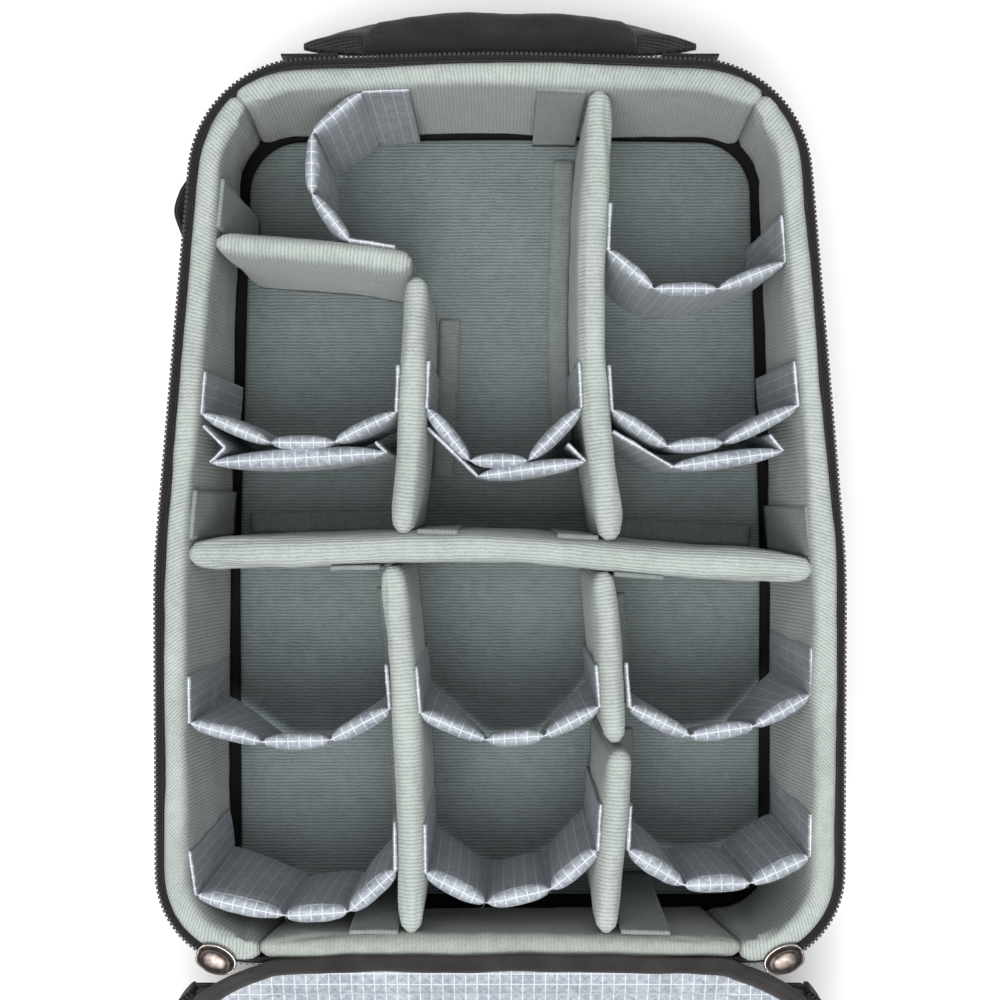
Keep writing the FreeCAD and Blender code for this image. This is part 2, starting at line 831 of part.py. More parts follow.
def lens_wire(run, thickness, height):
    """Outline of a flat pad between two seams, thickest in the middle, at a height."""
    along = (run[1] - run[0]).normalize()
    rise = Vector(0, 0, height)
    first = run[0] + along * wrap_end_gap + rise
    last = run[1] - along * wrap_end_gap + rise
    middle = (first + last) / 2
    bulge = left_of(along) * (thickness / 2)
    return Part.Wire([
        arc_edge(first, middle + bulge, last),
        arc_edge(last, middle - bulge, first),
    ])


def lens(bottom_run, top_run, thickness, low, high):
    """Flat pad between two seams that may lean; each run is its start and end in plan."""
    wires = [lens_wire(bottom_run, thickness, low), lens_wire(top_run, thickness, high)]
    return Part.makeLoft(wires, True, True)


def wrap_tab(start, end, low, high):
    """Thin doubled end tab of a wrap."""
    along = (end - start).normalize()
    points = [start, end - along * wrap_end_gap]
    half = wrap_tab_thickness / 2
    return band(points, -half, half, low, high)


def wrap(points, thickness, lean):
    """Five-part wrap: an end tab, three pads and an end tab; the middle seams lean at the bottom."""
    shift = Vector(0, -lean, 0)
    feet = [points[1], points[2] + shift, points[3] + shift, points[4]]
    pieces = [wrap_tab(points[0], points[1], wrap_bottom, wrap_top)]
    for index in range(3):
        top_run = points[index + 1:index + 3]
        pieces.append(lens(feet[index:index + 2], top_run, thickness, wrap_bottom, wrap_top))
    pieces.append(wrap_tab(points[5], points[4], wrap_bottom, wrap_top))
    return Part.makeCompound(pieces)


def wrap_back(points, thicknesses):
    """Second layer folded behind a wrap: flat pads and thin links, one thickness each."""
    pieces = []
    for first, second, thickness in zip(points, points[1:], thicknesses):
        run = (first, second)
        pieces.append(lens(run, run, thickness, wrap_bottom, back_layer_top))
    return Part.makeCompound(pieces)


tab_standoff = wrap_face_gap + wrap_tab_thickness / 2


def at_side(side, y):
    """Point of a wrap tab against a side wall pad."""
    return (side * (inner_face_x(y) - tab_standoff), y)


def right_of_divider(path, y):
    """Point of a wrap tab against the right face of a divider that runs down the bag."""
    return (x_on(path, y) + pad_half + tab_standoff, y)


def left_of_divider(path, y):
    """Point of a wrap tab against the left face of a divider that runs down the bag."""
    return (x_on(path, y) - pad_half - tab_standoff, y)


def top_of_divider(path, x):
    """Point of a wrap tab against the upper face of a divider that runs across the bag."""
    return (x, y_on(path, x) + pad_half + tab_standoff)


def top_left_wrap():
    """Wrap in the top left corner, from the top wall round to the L-shaped divider."""
    first = (-45, inner_face_top_y(-45) - tab_standoff)
    second = (-68, inner_face_top_y(-68) - tab_standoff)
    return plan(
        first, second, (-93, 184), (-93, 154),
        top_of_divider(upper_left_across, -75), top_of_divider(upper_left_across, -52),
    )


lower_right_whole = lower_right_upper[:2] + lower_right_lower

wraps = {
    "wrap_top_left": (top_left_wrap(), wrap_thin, 0),
    "wrap_top_right": (plan(
        right_of_divider(upper_right_path, 149), right_of_divider(upper_right_path, 126),
        (76, 107), (108, 107), at_side(1, 120), at_side(1, 143)), wrap_thin, 0),
    "wrap_middle_left": (plan(
        at_side(-1, 66), at_side(-1, 45), (-114, 31), (-82, 31),
        left_of_divider(upper_left_down, 46), left_of_divider(upper_left_down, 69)),
        wrap_thin, 0),
    "wrap_middle_centre": (plan(
        right_of_divider(upper_left_down, 71), right_of_divider(upper_left_down, 48),
        (-15, 22), (14, 22),
        left_of_divider(upper_right_path, 48), left_of_divider(upper_right_path, 71)),
        wrap_thin, 0),
    "wrap_middle_right": (plan(
        right_of_divider(upper_right_path, 69), right_of_divider(upper_right_path, 47),
        (83, 29), (111, 31), at_side(1, 49), at_side(1, 71)), wrap_thin, 0),
    "wrap_lower_left": (plan(
        at_side(-1, -85), at_side(-1, -108), (-118, -117), (-84, -116),
        left_of_divider(lower_left_path, -101), left_of_divider(lower_left_path, -79)),
        wrap_medium, lower_row_lean),
    "wrap_lower_centre": (plan(
        right_of_divider(lower_left_path, -80), right_of_divider(lower_left_path, -103),
        (-7, -116), (22, -114),
        left_of_divider(lower_right_upper, -100), left_of_divider(lower_right_upper, -79)),
        wrap_medium, lower_row_lean),
    "wrap_lower_right": (plan(
        right_of_divider(lower_right_upper, -78), right_of_divider(lower_right_upper, -100),
        (94, -114), (126, -109), at_side(1, -94), at_side(1, -71)), wrap_medium, lower_row_lean),
    "wrap_bottom_left": (plan(
        at_side(-1, -171), at_side(-1, -193), (-107, -203), (-75, -201),
        left_of_divider(lower_left_path, -181), left_of_divider(lower_left_path, -157)),
        wrap_thick, bottom_row_lean),
    "wrap_bottom_centre": (plan(
        right_of_divider(lower_left_path, -158), right_of_divider(lower_left_path, -182),
        (-7, -197), (25, -190),
        left_of_divider(lower_right_lower, -171), left_of_divider(lower_right_lower, -148)),
        wrap_thick, bottom_row_lean),
    "wrap_bottom_right": (plan(
        right_of_divider(lower_right_lower, -149), right_of_divider(lower_right_lower, -171),
        (91, -188), (124, -187), at_side(1, -174), at_side(1, -153)), wrap_thick, bottom_row_lean),
}

wrap_backs = {
    "wrap_back_left": (
        plan((-147, 39.5), (-136, 28.5), (-143.5, 20.8), (-56, 25.8), (-62, 31.5)),
        (link_thickness, link_thickness, wrap_medium, link_thickness),
    ),
    "wrap_back_centre": (
        plan((-36, 38.5), (-11, 14.2), (42.5, 21.4), (33, 30.5)),
        (link_thickness, wrap_thin, link_thickness),
    ),
    "wrap_back_right": (
        plan((55.5, 36.5), (85.5, 18.8), (140, 26.5), (133, 35)),
        (link_thickness, wrap_thin, link_thickness),
    ),
}


# ---------------------------------------------------------------- all pieces

def all_pieces():
    """Every piece of the bag by name."""
    pieces = {
        "back_pad": back_pad(),
        "back_board": level_sheet(skin_inner + seam_gap, back_pad_top, board_top),
        "floor_lining": level_sheet(skin_inner + seam_gap, board_top, lining_top),
        "shell_skin": shell_skin(),
        "floor_pad": floor_pad(),
        "body_zip_tape": zip_tape(),
        "body_zip_teeth": zip_teeth(),
        "hinge_piping": hinge_piping(),
        "handle_anchors": handle_anchors(),
        "handle_grip": handle_grip(),
        "handle_webbing": handle_webbing(),
        "side_loop": side_loop(),
        "zip_slider_left": zip_slider(-1),
        "zip_slider_right": zip_slider(1),
        "zip_pull_left": zip_pull(-1),
        "zip_pull_right": zip_pull(1),
        "lid_lining": lid_lining(),
        "lid_foam": lid_core(lid_lining_bottom, lid_foam_bottom),
        "lid_board": lid_core(lid_foam_bottom, lid_board_bottom),
        "lid_cover": lid_cover(),
        "lid_edge_band": lid_edge_band(),
        "lid_binding": lid_binding(),
        "lid_zip_tape": lid_zip_tape(),
        "lid_zip_teeth": lid_zip_teeth(),
        "lid_flange": lid_flange(),
        "main_divider": divider_pad(main_path, main_pad_thickness),
        "upper_right_divider": divider_pad(upper_right_path, pad_thickness),
        "upper_left_divider": divider_pad(upper_left_across, pad_thickness),
        "lower_left_divider": divider_pad(lower_left_path, pad_thickness),
        "lower_right_divider": divider_pad(lower_right_upper, pad_thickness),
        "main_divider_flaps": Part.makeCompound(main_divider_flaps()),
        "upper_right_flaps": Part.makeCompound(upper_right_flaps()),
        "upper_left_flaps": Part.makeCompound(upper_left_flaps()),
        "lower_left_flaps": Part.makeCompound(lower_left_flaps()),
        "lower_right_flaps": Part.makeCompound(lower_right_flaps()),
    }
    pieces["upper_left_divider_leg"] = divider_pad(upper_left_down, pad_thickness)
    pieces["lower_right_divider_end"] = divider_pad(lower_right_lower, pad_thickness)
    pieces.update(wall_pads())
    for name, (points, thickness, lean) in wraps.items():
        pieces[name] = wrap(points, thickness, lean)
    for name, (points, thicknesses) in wrap_backs.items():
        pieces[name] = wrap_back(points, thicknesses)
    return pieces


os.makedirs("parts", exist_ok=True)
for piece_name, shape in all_pieces().items():
    shape.exportStep("parts/" + piece_name + ".step")
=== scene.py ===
import json
import math

import bmesh
import bpy
import numpy as np
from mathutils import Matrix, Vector, noise

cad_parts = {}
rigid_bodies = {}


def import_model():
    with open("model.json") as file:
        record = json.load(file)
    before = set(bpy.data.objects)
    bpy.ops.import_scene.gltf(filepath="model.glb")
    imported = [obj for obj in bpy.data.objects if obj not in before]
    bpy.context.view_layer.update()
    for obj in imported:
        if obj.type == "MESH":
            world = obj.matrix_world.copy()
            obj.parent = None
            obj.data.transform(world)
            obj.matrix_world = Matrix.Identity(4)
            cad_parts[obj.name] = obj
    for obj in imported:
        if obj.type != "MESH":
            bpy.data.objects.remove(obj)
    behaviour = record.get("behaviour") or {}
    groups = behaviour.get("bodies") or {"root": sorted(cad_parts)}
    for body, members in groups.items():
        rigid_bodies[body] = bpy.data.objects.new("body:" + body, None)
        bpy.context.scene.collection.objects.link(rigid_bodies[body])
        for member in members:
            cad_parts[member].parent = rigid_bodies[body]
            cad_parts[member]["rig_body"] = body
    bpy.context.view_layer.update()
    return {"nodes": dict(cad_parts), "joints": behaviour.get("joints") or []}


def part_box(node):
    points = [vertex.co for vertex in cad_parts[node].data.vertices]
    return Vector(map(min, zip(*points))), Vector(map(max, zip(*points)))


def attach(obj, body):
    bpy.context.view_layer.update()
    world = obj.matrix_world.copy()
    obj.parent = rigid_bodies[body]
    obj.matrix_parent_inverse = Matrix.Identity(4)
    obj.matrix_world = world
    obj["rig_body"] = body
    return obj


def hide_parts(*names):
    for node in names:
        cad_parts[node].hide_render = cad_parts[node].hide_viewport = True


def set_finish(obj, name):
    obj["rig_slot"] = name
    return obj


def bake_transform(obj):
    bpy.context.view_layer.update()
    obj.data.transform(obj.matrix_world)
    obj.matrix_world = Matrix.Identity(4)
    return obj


# Padded camera bag lying open on its back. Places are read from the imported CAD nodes. Sizes are in metres.

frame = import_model()
mm = 0.001

# ---- camera over the compartment ----
camera_height = 1.028
camera_y = 2.5 * mm
camera_lens = 62.8
camera_sensor = 36.0

# ---- wall layers, measured inwards from the outer skin ----
skin_thickness = 1.4 * mm
pad_outer = 1.5 * mm
pad_inner = 11.5 * mm
tape_outer = -2.5 * mm
tape_inner = 0.9 * mm
tooth_middle = -1.8 * mm
seam_half_gap = 0.25 * mm

# ---- seams and zip ends, as in the CAD ----
bottom_pad_half = 118.0 * mm
corner_seam_slope = 1.09
corner_seam_apex = 60.0 * mm
zip_corner = (122.0 * mm, -180.0 * mm)
zip_end_angle = 80.0
lid_zip_angle = 48.0
slider_angle = 68.0
slider_radius = 46.0 * mm
lid_slope = 20.7

# ---- padded pieces ----
pad_middle = (pad_outer + pad_inner) / 2
pad_half = (pad_inner - pad_outer) / 2
pad_ridge = 6.5 * mm
pad_squareness = 2.4
rim_overhang = 1.9 * mm
side_pad_length = 420 * mm
top_pad_length = 320 * mm
wall_waves = ((1.3 * mm, 48 * mm), (0.5 * mm, 13 * mm))
divider_waves = ((1.0 * mm, 42 * mm), (0.4 * mm, 12 * mm))
pad_cap = 1.6 * mm
divider_cap = 1.4 * mm
divider_swelling = 0.4 * mm
divider_end_share = 0.4
upright_least = 50 * mm

# ---- wraps and their threads ----
tab_limit = 2.4 * mm
seam_half = 0.5 * mm
wrap_fullness = 0.4 * mm
wrap_waves = ((0.5 * mm, 11 * mm), (0.25 * mm, 4 * mm))
wrap_cap = 2.0 * mm
seam_dip = 2.4 * mm
foot_share = 0.35
tab_half = 0.7 * mm
tab_margin = 1.6 * mm
tab_drop = 34 * mm
threads_each = 3
thread_radius = 0.16 * mm

# ---- fold between the bag and its front panel ----
hinge_line = [(-150, -22), (-146, -16), (-133, -8), (-118, -1.5), (-105, 2), (-60, 3.2), (0, 3.5)]
band_width = 8.5 * mm
band_top = [(-0.5, 0.2), (-0.49, 1.0), (-0.4, 1.7), (-0.2, 1.9), (0, 1.6)]
band_top += [(-share, lift) for share, lift in band_top[-2::-1]]
band_underside = -0.3
strip_reach = 13.0 * mm
strip_tuck = 3.0 * mm
strip_half = 138 * mm
gusset_profile = [(0.6, 0.9), (6, 4.6), (12, 10.4), (19, 15.2)]
gusset_half = 118 * mm
gusset_growth = 9 * mm
lid_panel_start = 18.0 * mm

# ---- zip teeth and sliders; a tooth's blocks are near, far, half width and half height in mm ----
tooth_blocks = ((-1.3, -0.1, 0.5, 0.55), (-0.15, 1.35, 0.5, 0.45), (0.5, 1.35, 0.82, 0.7))
slider_tail = 9.8 * mm
slider_length = 19.4 * mm
slider_half = 8.25 * mm
slider_drop = 1.6 * mm
slider_rim = 0.7 * mm
dome_profile = [
    (0.3, 0.0), (0.99, 0.0), (1.0, 0.7), (0.97, 2.0), (0.88, 3.2), (0.74, 4.0),
    (0.7, 4.05), (0.66, 4.35), (0.5, 4.8), (0.3, 5.0), (0.05, 5.05),
]

# ---- handle ----
handle_tilt = 40.0
grip_half = 68 * mm
grip_reach = 29 * mm
grip_crown = 8 * mm
grip_inner = -2.5 * mm
grip_thick = 5.2 * mm
grip_waves = ((1.2 * mm, 30 * mm), (0.4 * mm, 9 * mm))
strap_tip = 100 * mm
patch_margin = 3 * mm

# ---- cloth simulation ----
sim_frames = 14
sim_pressure = 10.0

# ---- light ----
world_strength = 0.15
lights = (("light_key", (-0.1, -0.55, 2.4), 0.8, 38), ("light_top", (-0.1, -0.1, 1.9), 2.2, 37))

# ---- fabric patterns ----
rib_pitch = 1.9 * mm
grid_pitch = 5.6 * mm
grid_line = 0.55 * mm
tooth_pitch = 2.35 * mm
stitch_pitch = 3.0 * mm
stitch_length = 2.1 * mm

joints = {joint["name"]: joint for joint in frame["joints"]}
_, hinge_y, hinge_z = joints["lid_hinge"]["pos_m"]
_, handle_y, handle_z = joints["handle_swing"]["pos_m"]


# ---------------------------------------------------------------- reading the CAD

def node_parts(name):
    """Points of each separate solid of a CAD node."""
    mesh = frame["nodes"][name].data
    points = np.array([vertex.co for vertex in mesh.vertices])
    _, weld = np.unique(np.round(points * 1e5).astype(int), axis=0, return_inverse=True)
    weld = weld.ravel()
    group = np.arange(weld.max() + 1)
    changed = True
    while changed:
        before = group.copy()
        for edge in mesh.edges:
            first, second = weld[edge.vertices[0]], weld[edge.vertices[1]]
            group[first] = group[second] = min(group[first], group[second])
        changed = not np.array_equal(before, group)
    labels = group[weld]
    return [points[labels == label] for label in np.unique(labels)]


def plan_axis(points):
    """Distance of plan points along the longest direction of their cloud."""
    centred = points[:, :2] - points[:, :2].mean(axis=0)
    _, _, axes = np.linalg.svd(centred, full_matrices=False)
    return centred @ axes[0]


def end_points(points):
    """Plan points at the two ends of an upright slab."""
    reach = plan_axis(points)
    first = points[reach < reach.min() + 0.3 * mm][:, :2].mean(axis=0)
    last = points[reach > reach.max() - 0.3 * mm][:, :2].mean(axis=0)
    return first, last


def slab_thickness(points):
    """Greatest thickness of an upright slab."""
    first, last = end_points(points)
    along = (last - first) / np.linalg.norm(last - first)
    offset = (points[:, :2] - first) @ np.array([-along[1], along[0]])
    return offset.max() - offset.min()


def corner_pairs(points):
    """Pairs of corners in plan of a slab with parallel faces, as two lists of points."""
    corners = np.unique(np.round(points[:, :2], 6), axis=0)
    corners = corners[np.argsort(plan_axis(corners))]
    return corners[0::2], corners[1::2]


def centre_line(points):
    """Centre line in plan of a slab with parallel faces."""
    first, second = corner_pairs(points)
    return (first + second) / 2


def narrowest_thickness(points):
    """Thickness of a slab with parallel faces, from its narrowest pair of corners."""
    first, second = corner_pairs(points)
    return float(np.linalg.norm(first - second, axis=1).min())


def levels(node):
    """Lowest and highest level of a CAD node."""
    return (corner.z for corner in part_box(node))


def turns_right(first, second, third):
    """Whether a way through three plan points turns right or goes straight on."""
    return np.cross(np.subtract(second, first), np.subtract(third, second)) <= 0


def hull(points):
    """Convex outline of plan points, anticlockwise."""
    ordered = sorted(map(tuple, np.round(points, 6)))
    sides = []
    for run in (ordered, ordered[::-1]):
        side = []
        for point in run:
            while len(side) > 1 and turns_right(side[-2], side[-1], point):
                side.pop()
            side.append(point)
        sides += side[:-1]
    return np.array(sides)


# ---------------------------------------------------------------- lines in plan

def resample(line, count, closed=False):
    """Points spread evenly along a line or loop."""
    line = np.asarray(line, float)
    if closed:
        line = np.vstack([line, line[:1]])
    steps = np.linalg.norm(np.diff(line, axis=0), axis=1)
    distance = np.concatenate([[0], np.cumsum(steps)])
    places = np.linspace(0, distance[-1], count + 1 if closed else count)
    if closed:
        places = places[:-1]
    return np.stack([np.interp(places, distance, line[:, axis]) for axis in range(line.shape[1])], axis=1)


def distances(line):
    """Distance of each point from the start of a line."""
    return np.concatenate([[0], np.cumsum(np.linalg.norm(np.diff(line, axis=0), axis=1))])


def curve_through(points, step):
    """Smooth curve through a few points, in even steps."""
    points = np.asarray(points, float)
    padded = np.vstack([2 * points[0] - points[1], points, 2 * points[-1] - points[-2]])
    share = np.linspace(0, 1, 24)[:, None]
    pieces = []
    for a, b, c, d in zip(padded, padded[1:], padded[2:], padded[3:]):
        cubic = 2 * b + (c - a) * share + (2 * a - 5 * b + 4 * c - d) * share**2
        pieces.append(0.5 * (cubic + (3 * b - 3 * c + d - a) * share**3))
    line = np.vstack(pieces)
    return resample(line, max(3, int(distances(line)[-1] / step) + 1))


def left_normals(line, closed=False):
    """Unit vectors to the left of a plan line."""
    if closed:
        along = np.roll(line, -1, axis=0) - np.roll(line, 1, axis=0)
    else:
        along = np.gradient(line, axis=0)
    normal = np.stack([-along[:, 1], along[:, 0]], axis=1)
    return normal / np.linalg.norm(normal, axis=1)[:, None]


def start_at_hinge(loop):
    """Loop turned so that it starts nearest the middle of the hinge side."""
    lower = np.where(loop[:, 1] < 0, np.abs(loop[:, 0]), np.inf)
    return np.roll(loop, -int(np.argmin(lower)), axis=0)


skin_low, skin_high = levels("shell_skin")


def skin_loop(height):
    """Outer line of the skin's edge at a height where the CAD has an edge."""
    points = node_parts("shell_skin")[0]
    edge = points[np.abs(points[:, 2] - height) < 0.1 * mm][:, :2]
    return start_at_hinge(resample(hull(edge), 900, closed=True))


skin_bottom_line = skin_loop(skin_low)
skin_top_line = skin_loop(skin_high)


def wall_loop(inset, height):
    """Closed plan line that follows the sloping walls, inset from the outer skin, at a height."""
    share = (height - skin_low) / (skin_high - skin_low)
    line = skin_bottom_line + (skin_top_line - skin_bottom_line) * share
    return line + left_normals(line, closed=True) * inset


def crossing(line, values, start):
    """Distance along a line, after a start, at which values turn from negative to positive."""
    travelled = distances(line)
    turns = np.nonzero((values[:-1] < 0) & (values[1:] >= 0))[0]
    for index in turns:
        share = values[index] / (values[index] - values[index + 1])
        place = travelled[index] + share * (travelled[index + 1] - travelled[index])
        if place > start:
            return place
    return travelled[-1]


def wall_run(inset, height, start_cut, end_cut, count):
    """Even points on the wall's line between two cutting lines, each a function of a plan line."""
    loop = wall_loop(inset, height)
    line = np.vstack([loop, loop[:1]])
    start = crossing(line, start_cut(line), 0)
    end = crossing(line, end_cut(line), start)
    travelled = distances(line)
    places = np.linspace(start, end, count)
    return np.stack([np.interp(places, travelled, line[:, axis]) for axis in range(2)], axis=1)


def carried(insets, heights, count, cuts=None, level=None):
    """Rows of a section carried round the walls, all the way or between two cuts.

    The plan lines follow the walls' slope, or are all taken at one level if it is given.
    """
    columns = []
    for inset, height in zip(insets, heights):
        plan_level = height if level is None else level
        if cuts is None:
            plan = resample(wall_loop(inset, plan_level), count, closed=True)
        else:
            plan = wall_run(inset, plan_level, *cuts, count)
        columns.append(np.column_stack([plan, np.full(count, height)]))
    return np.array(columns).transpose(1, 0, 2)


# ---------------------------------------------------------------- meshes

def mesh_object(name, points, faces, layers=(), smooth=True):
    """Object from points and faces, its normals outwards, with named values at its points."""
    mesh = bpy.data.meshes.new(name)
    mesh.from_pydata([tuple(point) for point in points], [], faces)
    for layer, values in dict(layers).items():
        attribute = mesh.attributes.new(layer, "FLOAT", "POINT")
        attribute.data.foreach_set("value", np.asarray(values, np.float32).ravel())
    shape = bmesh.new()
    shape.from_mesh(mesh)
    bmesh.ops.recalc_face_normals(shape, faces=shape.faces)
    shape.to_mesh(mesh)
    shape.free()
    mesh.polygons.foreach_set("use_smooth", [smooth] * len(mesh.polygons))
    piece = bpy.data.objects.new(name, mesh)
    bpy.context.scene.collection.objects.link(piece)
    return piece


def grid_faces(rows, columns, ring=False, caps=True):
    """Faces of rows of points round closed sections: ring joins the last row to the first, caps end them."""
    faces = []
    for row in range(rows if ring else rows - 1):
        following = (row + 1) % rows
        for column in range(columns):
            beside = (column + 1) % columns
            faces.append((
                row * columns + column,
                row * columns + beside,
                following * columns + beside,
                following * columns + column,
            ))
    if caps and not ring:
        for base in (0, (rows - 1) * columns):
            for column in range(columns // 2 - 1):
                mirror = columns - 1 - column
                faces.append((base + column, base + column + 1, base + mirror - 1, base + mirror))
    return faces


def grid_object(name, rows, layers=(), ring=False):
    """Object from an array of rows of points."""
    count, columns = rows.shape[:2]
    points = rows.reshape(-1, 3)
    return mesh_object(name, points, grid_faces(count, columns, ring), layers)


def section_layers(rows, along, around, lengthwise=False):
    """Stored values of a grid: ribs are counted along its rows or, lengthwise, round its section."""
    along = np.broadcast_to(along[:, None], rows.shape[:2])
    around = np.broadcast_to(around[None, :], rows.shape[:2])
    return {"rib": around, "run": along} if lengthwise else {"rib": along, "run": around}


def surface_normals(rows, ring=False):
    """Normals of a grid of rows, by its two directions."""
    if ring:
        along = np.roll(rows, -1, axis=0) - np.roll(rows, 1, axis=0)
    else:
        along = np.gradient(rows, axis=0)
    across = np.gradient(rows, axis=1)
    normal = np.cross(along, across)
    length = np.linalg.norm(normal, axis=2, keepdims=True)
    return normal / np.maximum(length, 1e-12)


def field(points, size, seed):
    """Smooth noise between about -1 and 1 at each point, in plan or in space."""
    flat = points.reshape(-1, points.shape[-1]) / size
    flat = np.column_stack([flat, np.zeros((len(flat), 3 - flat.shape[1]))])
    shift = Vector((seed * 7.31, seed * 3.17, seed * 1.93))
    values = [noise.noise(Vector(point) + shift) for point in flat]
    return np.array(values).reshape(points.shape[:-1])


def crumple(rows, amount, size, seed, ring=False):
    """Rows moved along their normals by smooth noise."""
    return rows + surface_normals(rows, ring) * (field(rows, size, seed) * amount)[..., None]


def waved(rows, waves, seed):
    """Rows crumpled by several waves, each an amount and a size."""
    for number, (amount, size) in enumerate(waves):
        rows = crumple(rows, amount, size, seed + number)
    return rows


def narrow_ends(rows, length, least, drop):
    """Closed sections drawn together over a length at both ends, with their tops let down."""
    along = distances(rows.mean(axis=1))
    near = np.clip(np.minimum(along, along[-1] - along) / length, 0, 1)
    share = least + (1 - least) * np.sqrt(1 - (1 - near) ** 2)
    middle = (rows + rows[:, ::-1]) / 2
    result = middle + (rows - middle) * share[:, None, None]
    low = rows[:, :, 2].min()
    height = (rows[:, :, 2] - low) / (rows[:, :, 2].max() - low)
    result[:, :, 2] -= height**6 * (1 - share)[:, None] * drop
    return result


def pad_section(half, low, high, ridge, side_count, ridge_count=14):
    """Offsets and heights round an upright pad's section, bottom left over the ridge to bottom right."""
    heights = list(np.linspace(low, high - ridge, side_count, endpoint=False))
    offsets = [half] * side_count
    for angle in np.linspace(0, math.pi, ridge_count):
        across, up = math.cos(angle), math.sin(angle)
        offsets.append(half * math.copysign(abs(across) ** (2 / pad_squareness), across))
        heights.append(high - ridge + ridge * abs(up) ** (2 / pad_squareness))
    offsets += [-half] * side_count
    heights += heights[:side_count][::-1]
    return np.array(offsets), np.array(heights)


def around_ridge(offsets, heights):
    """Distance round a section, measured from its ridge."""
    travelled = distances(np.stack([offsets, heights], axis=1))
    return travelled - travelled.mean()


def swept(line, offsets, heights):
    """Rows of a section swept along a plan line."""
    normals = left_normals(line)
    plan = line[:, None, :] + normals[:, None, :] * offsets[None, :, None]
    height = np.broadcast_to(heights, plan.shape[:2])
    return np.concatenate([plan, height[..., None]], axis=2)


def disc_rows(loop, shares, heights):
    """Rings of a flat pad: a plan loop drawn in by shares towards its centre, each at a height."""
    centre = (loop.min(axis=0) + loop.max(axis=0)) / 2
    rings = []
    for share, height in zip(shares, heights):
        plan = centre + (loop - centre) * share
        rings.append(np.column_stack([plan, np.full(len(plan), height)]))
    return np.array(rings)


def disc_object(name, rings, layers=()):
    """Object from rings, closed at the first and the last by a fan about their middle."""
    count, columns = rings.shape[:2]
    points = np.vstack([rings.reshape(-1, 3), rings[0].mean(axis=0), rings[-1].mean(axis=0)])
    faces = grid_faces(count, columns, caps=False)
    for base, hub in ((0, len(points) - 2), ((count - 1) * columns, len(points) - 1)):
        for column in range(columns):
            faces.append((base + column, base + (column + 1) % columns, hub))
    return mesh_object(name, points, faces, layers)


def disc_layers(rings):
    """Stored values of a disc: its own places across and along."""
    return {"rib": rings[:, :, 1].ravel().tolist() + [0, 0], "run": rings[:, :, 0].ravel().tolist() + [0, 0]}


def edge_rings(low, high, roundness, reach, steps):
    """Shares and heights of the rings that round off a flat pad's edge."""
    angles = np.linspace(-math.pi / 2, math.pi / 2, steps)
    shares = 1 - (1 - np.cos(angles)) * roundness / reach
    return list(shares), list((low + high) / 2 + (high - low) / 2 * np.sin(angles))


def joined(name, pieces):
    """One object from several, which are used up."""
    target = bpy.data.meshes.new(name)
    shape = bmesh.new()
    for piece in pieces:
        shape.from_mesh(piece.data)
        bpy.data.objects.remove(piece)
    shape.to_mesh(target)
    shape.free()
    result = bpy.data.objects.new(name, target)
    bpy.context.scene.collection.objects.link(result)
    return result


def dress(piece, body, slot, finish, replaced=()):
    """Give a piece its body, material slot, finish and the CAD nodes it stands for."""
    piece.data.materials.clear()
    piece.data.materials.append(finish)
    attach(piece, body)
    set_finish(piece, slot)
    if replaced:
        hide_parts(*replaced)
    return piece


def body_of_node(node):
    """Name of the CAD body that a node belongs to."""
    return frame["nodes"][node]["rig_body"]


def refinish(node, finish):
    """Give a CAD node that stays visible its finish."""
    materials = frame["nodes"][node].data.materials
    materials.clear()
    materials.append(finish)


# ---------------------------------------------------------------- cloth simulation

def held_points(piece, held):
    """Give a piece the vertex group that pins each point by its share of hold."""
    group = piece.vertex_groups.new(name="held")
    for index, share in enumerate(held):
        if share > 0:
            group.add([index], float(share), "REPLACE")


def settle(piece, held, cap):
    """Inflate a closed cloth form by simulation, with some points held and every move capped."""
    held_points(piece, held)
    cloth = piece.modifiers.new("cloth", "CLOTH")
    settings = cloth.settings
    settings.quality = 4
    settings.mass = 0.2
    settings.tension_stiffness = 12
    settings.compression_stiffness = 6
    settings.shear_stiffness = 6
    settings.bending_stiffness = 0.3
    settings.air_damping = 4
    settings.use_pressure = True
    settings.uniform_pressure_force = sim_pressure
    settings.effector_weights.gravity = 0
    settings.vertex_group_mass = "held"
    cloth.collision_settings.use_collision = False
    cloth.point_cache.frame_start = 1
    cloth.point_cache.frame_end = sim_frames
    before = np.array([vertex.co for vertex in piece.data.vertices])
    for number in range(1, sim_frames + 1):
        bpy.context.scene.frame_set(number)
    evaluated = piece.evaluated_get(bpy.context.evaluated_depsgraph_get())
    after = np.array([vertex.co for vertex in evaluated.data.vertices])
    move = after - before
    length = np.linalg.norm(move, axis=1, keepdims=True)
    move *= np.minimum(1, cap / np.maximum(length, 1e-9))
    piece.data.vertices.foreach_set("co", (before + move).ravel())
    piece.data.update()
    piece.modifiers.remove(cloth)
    piece.vertex_groups.clear()
    bpy.context.scene.frame_set(1)


# ---------------------------------------------------------------- materials

def srgb(red, green, blue):
    """Linear colour from screen values of 0 to 255."""
    linear = []
    for value in (red, green, blue):
        share = value / 255
        linear.append(share / 12.92 if share <= 0.04045 else ((share + 0.055) / 1.055) ** 2.4)
    return (*linear, 1.0)


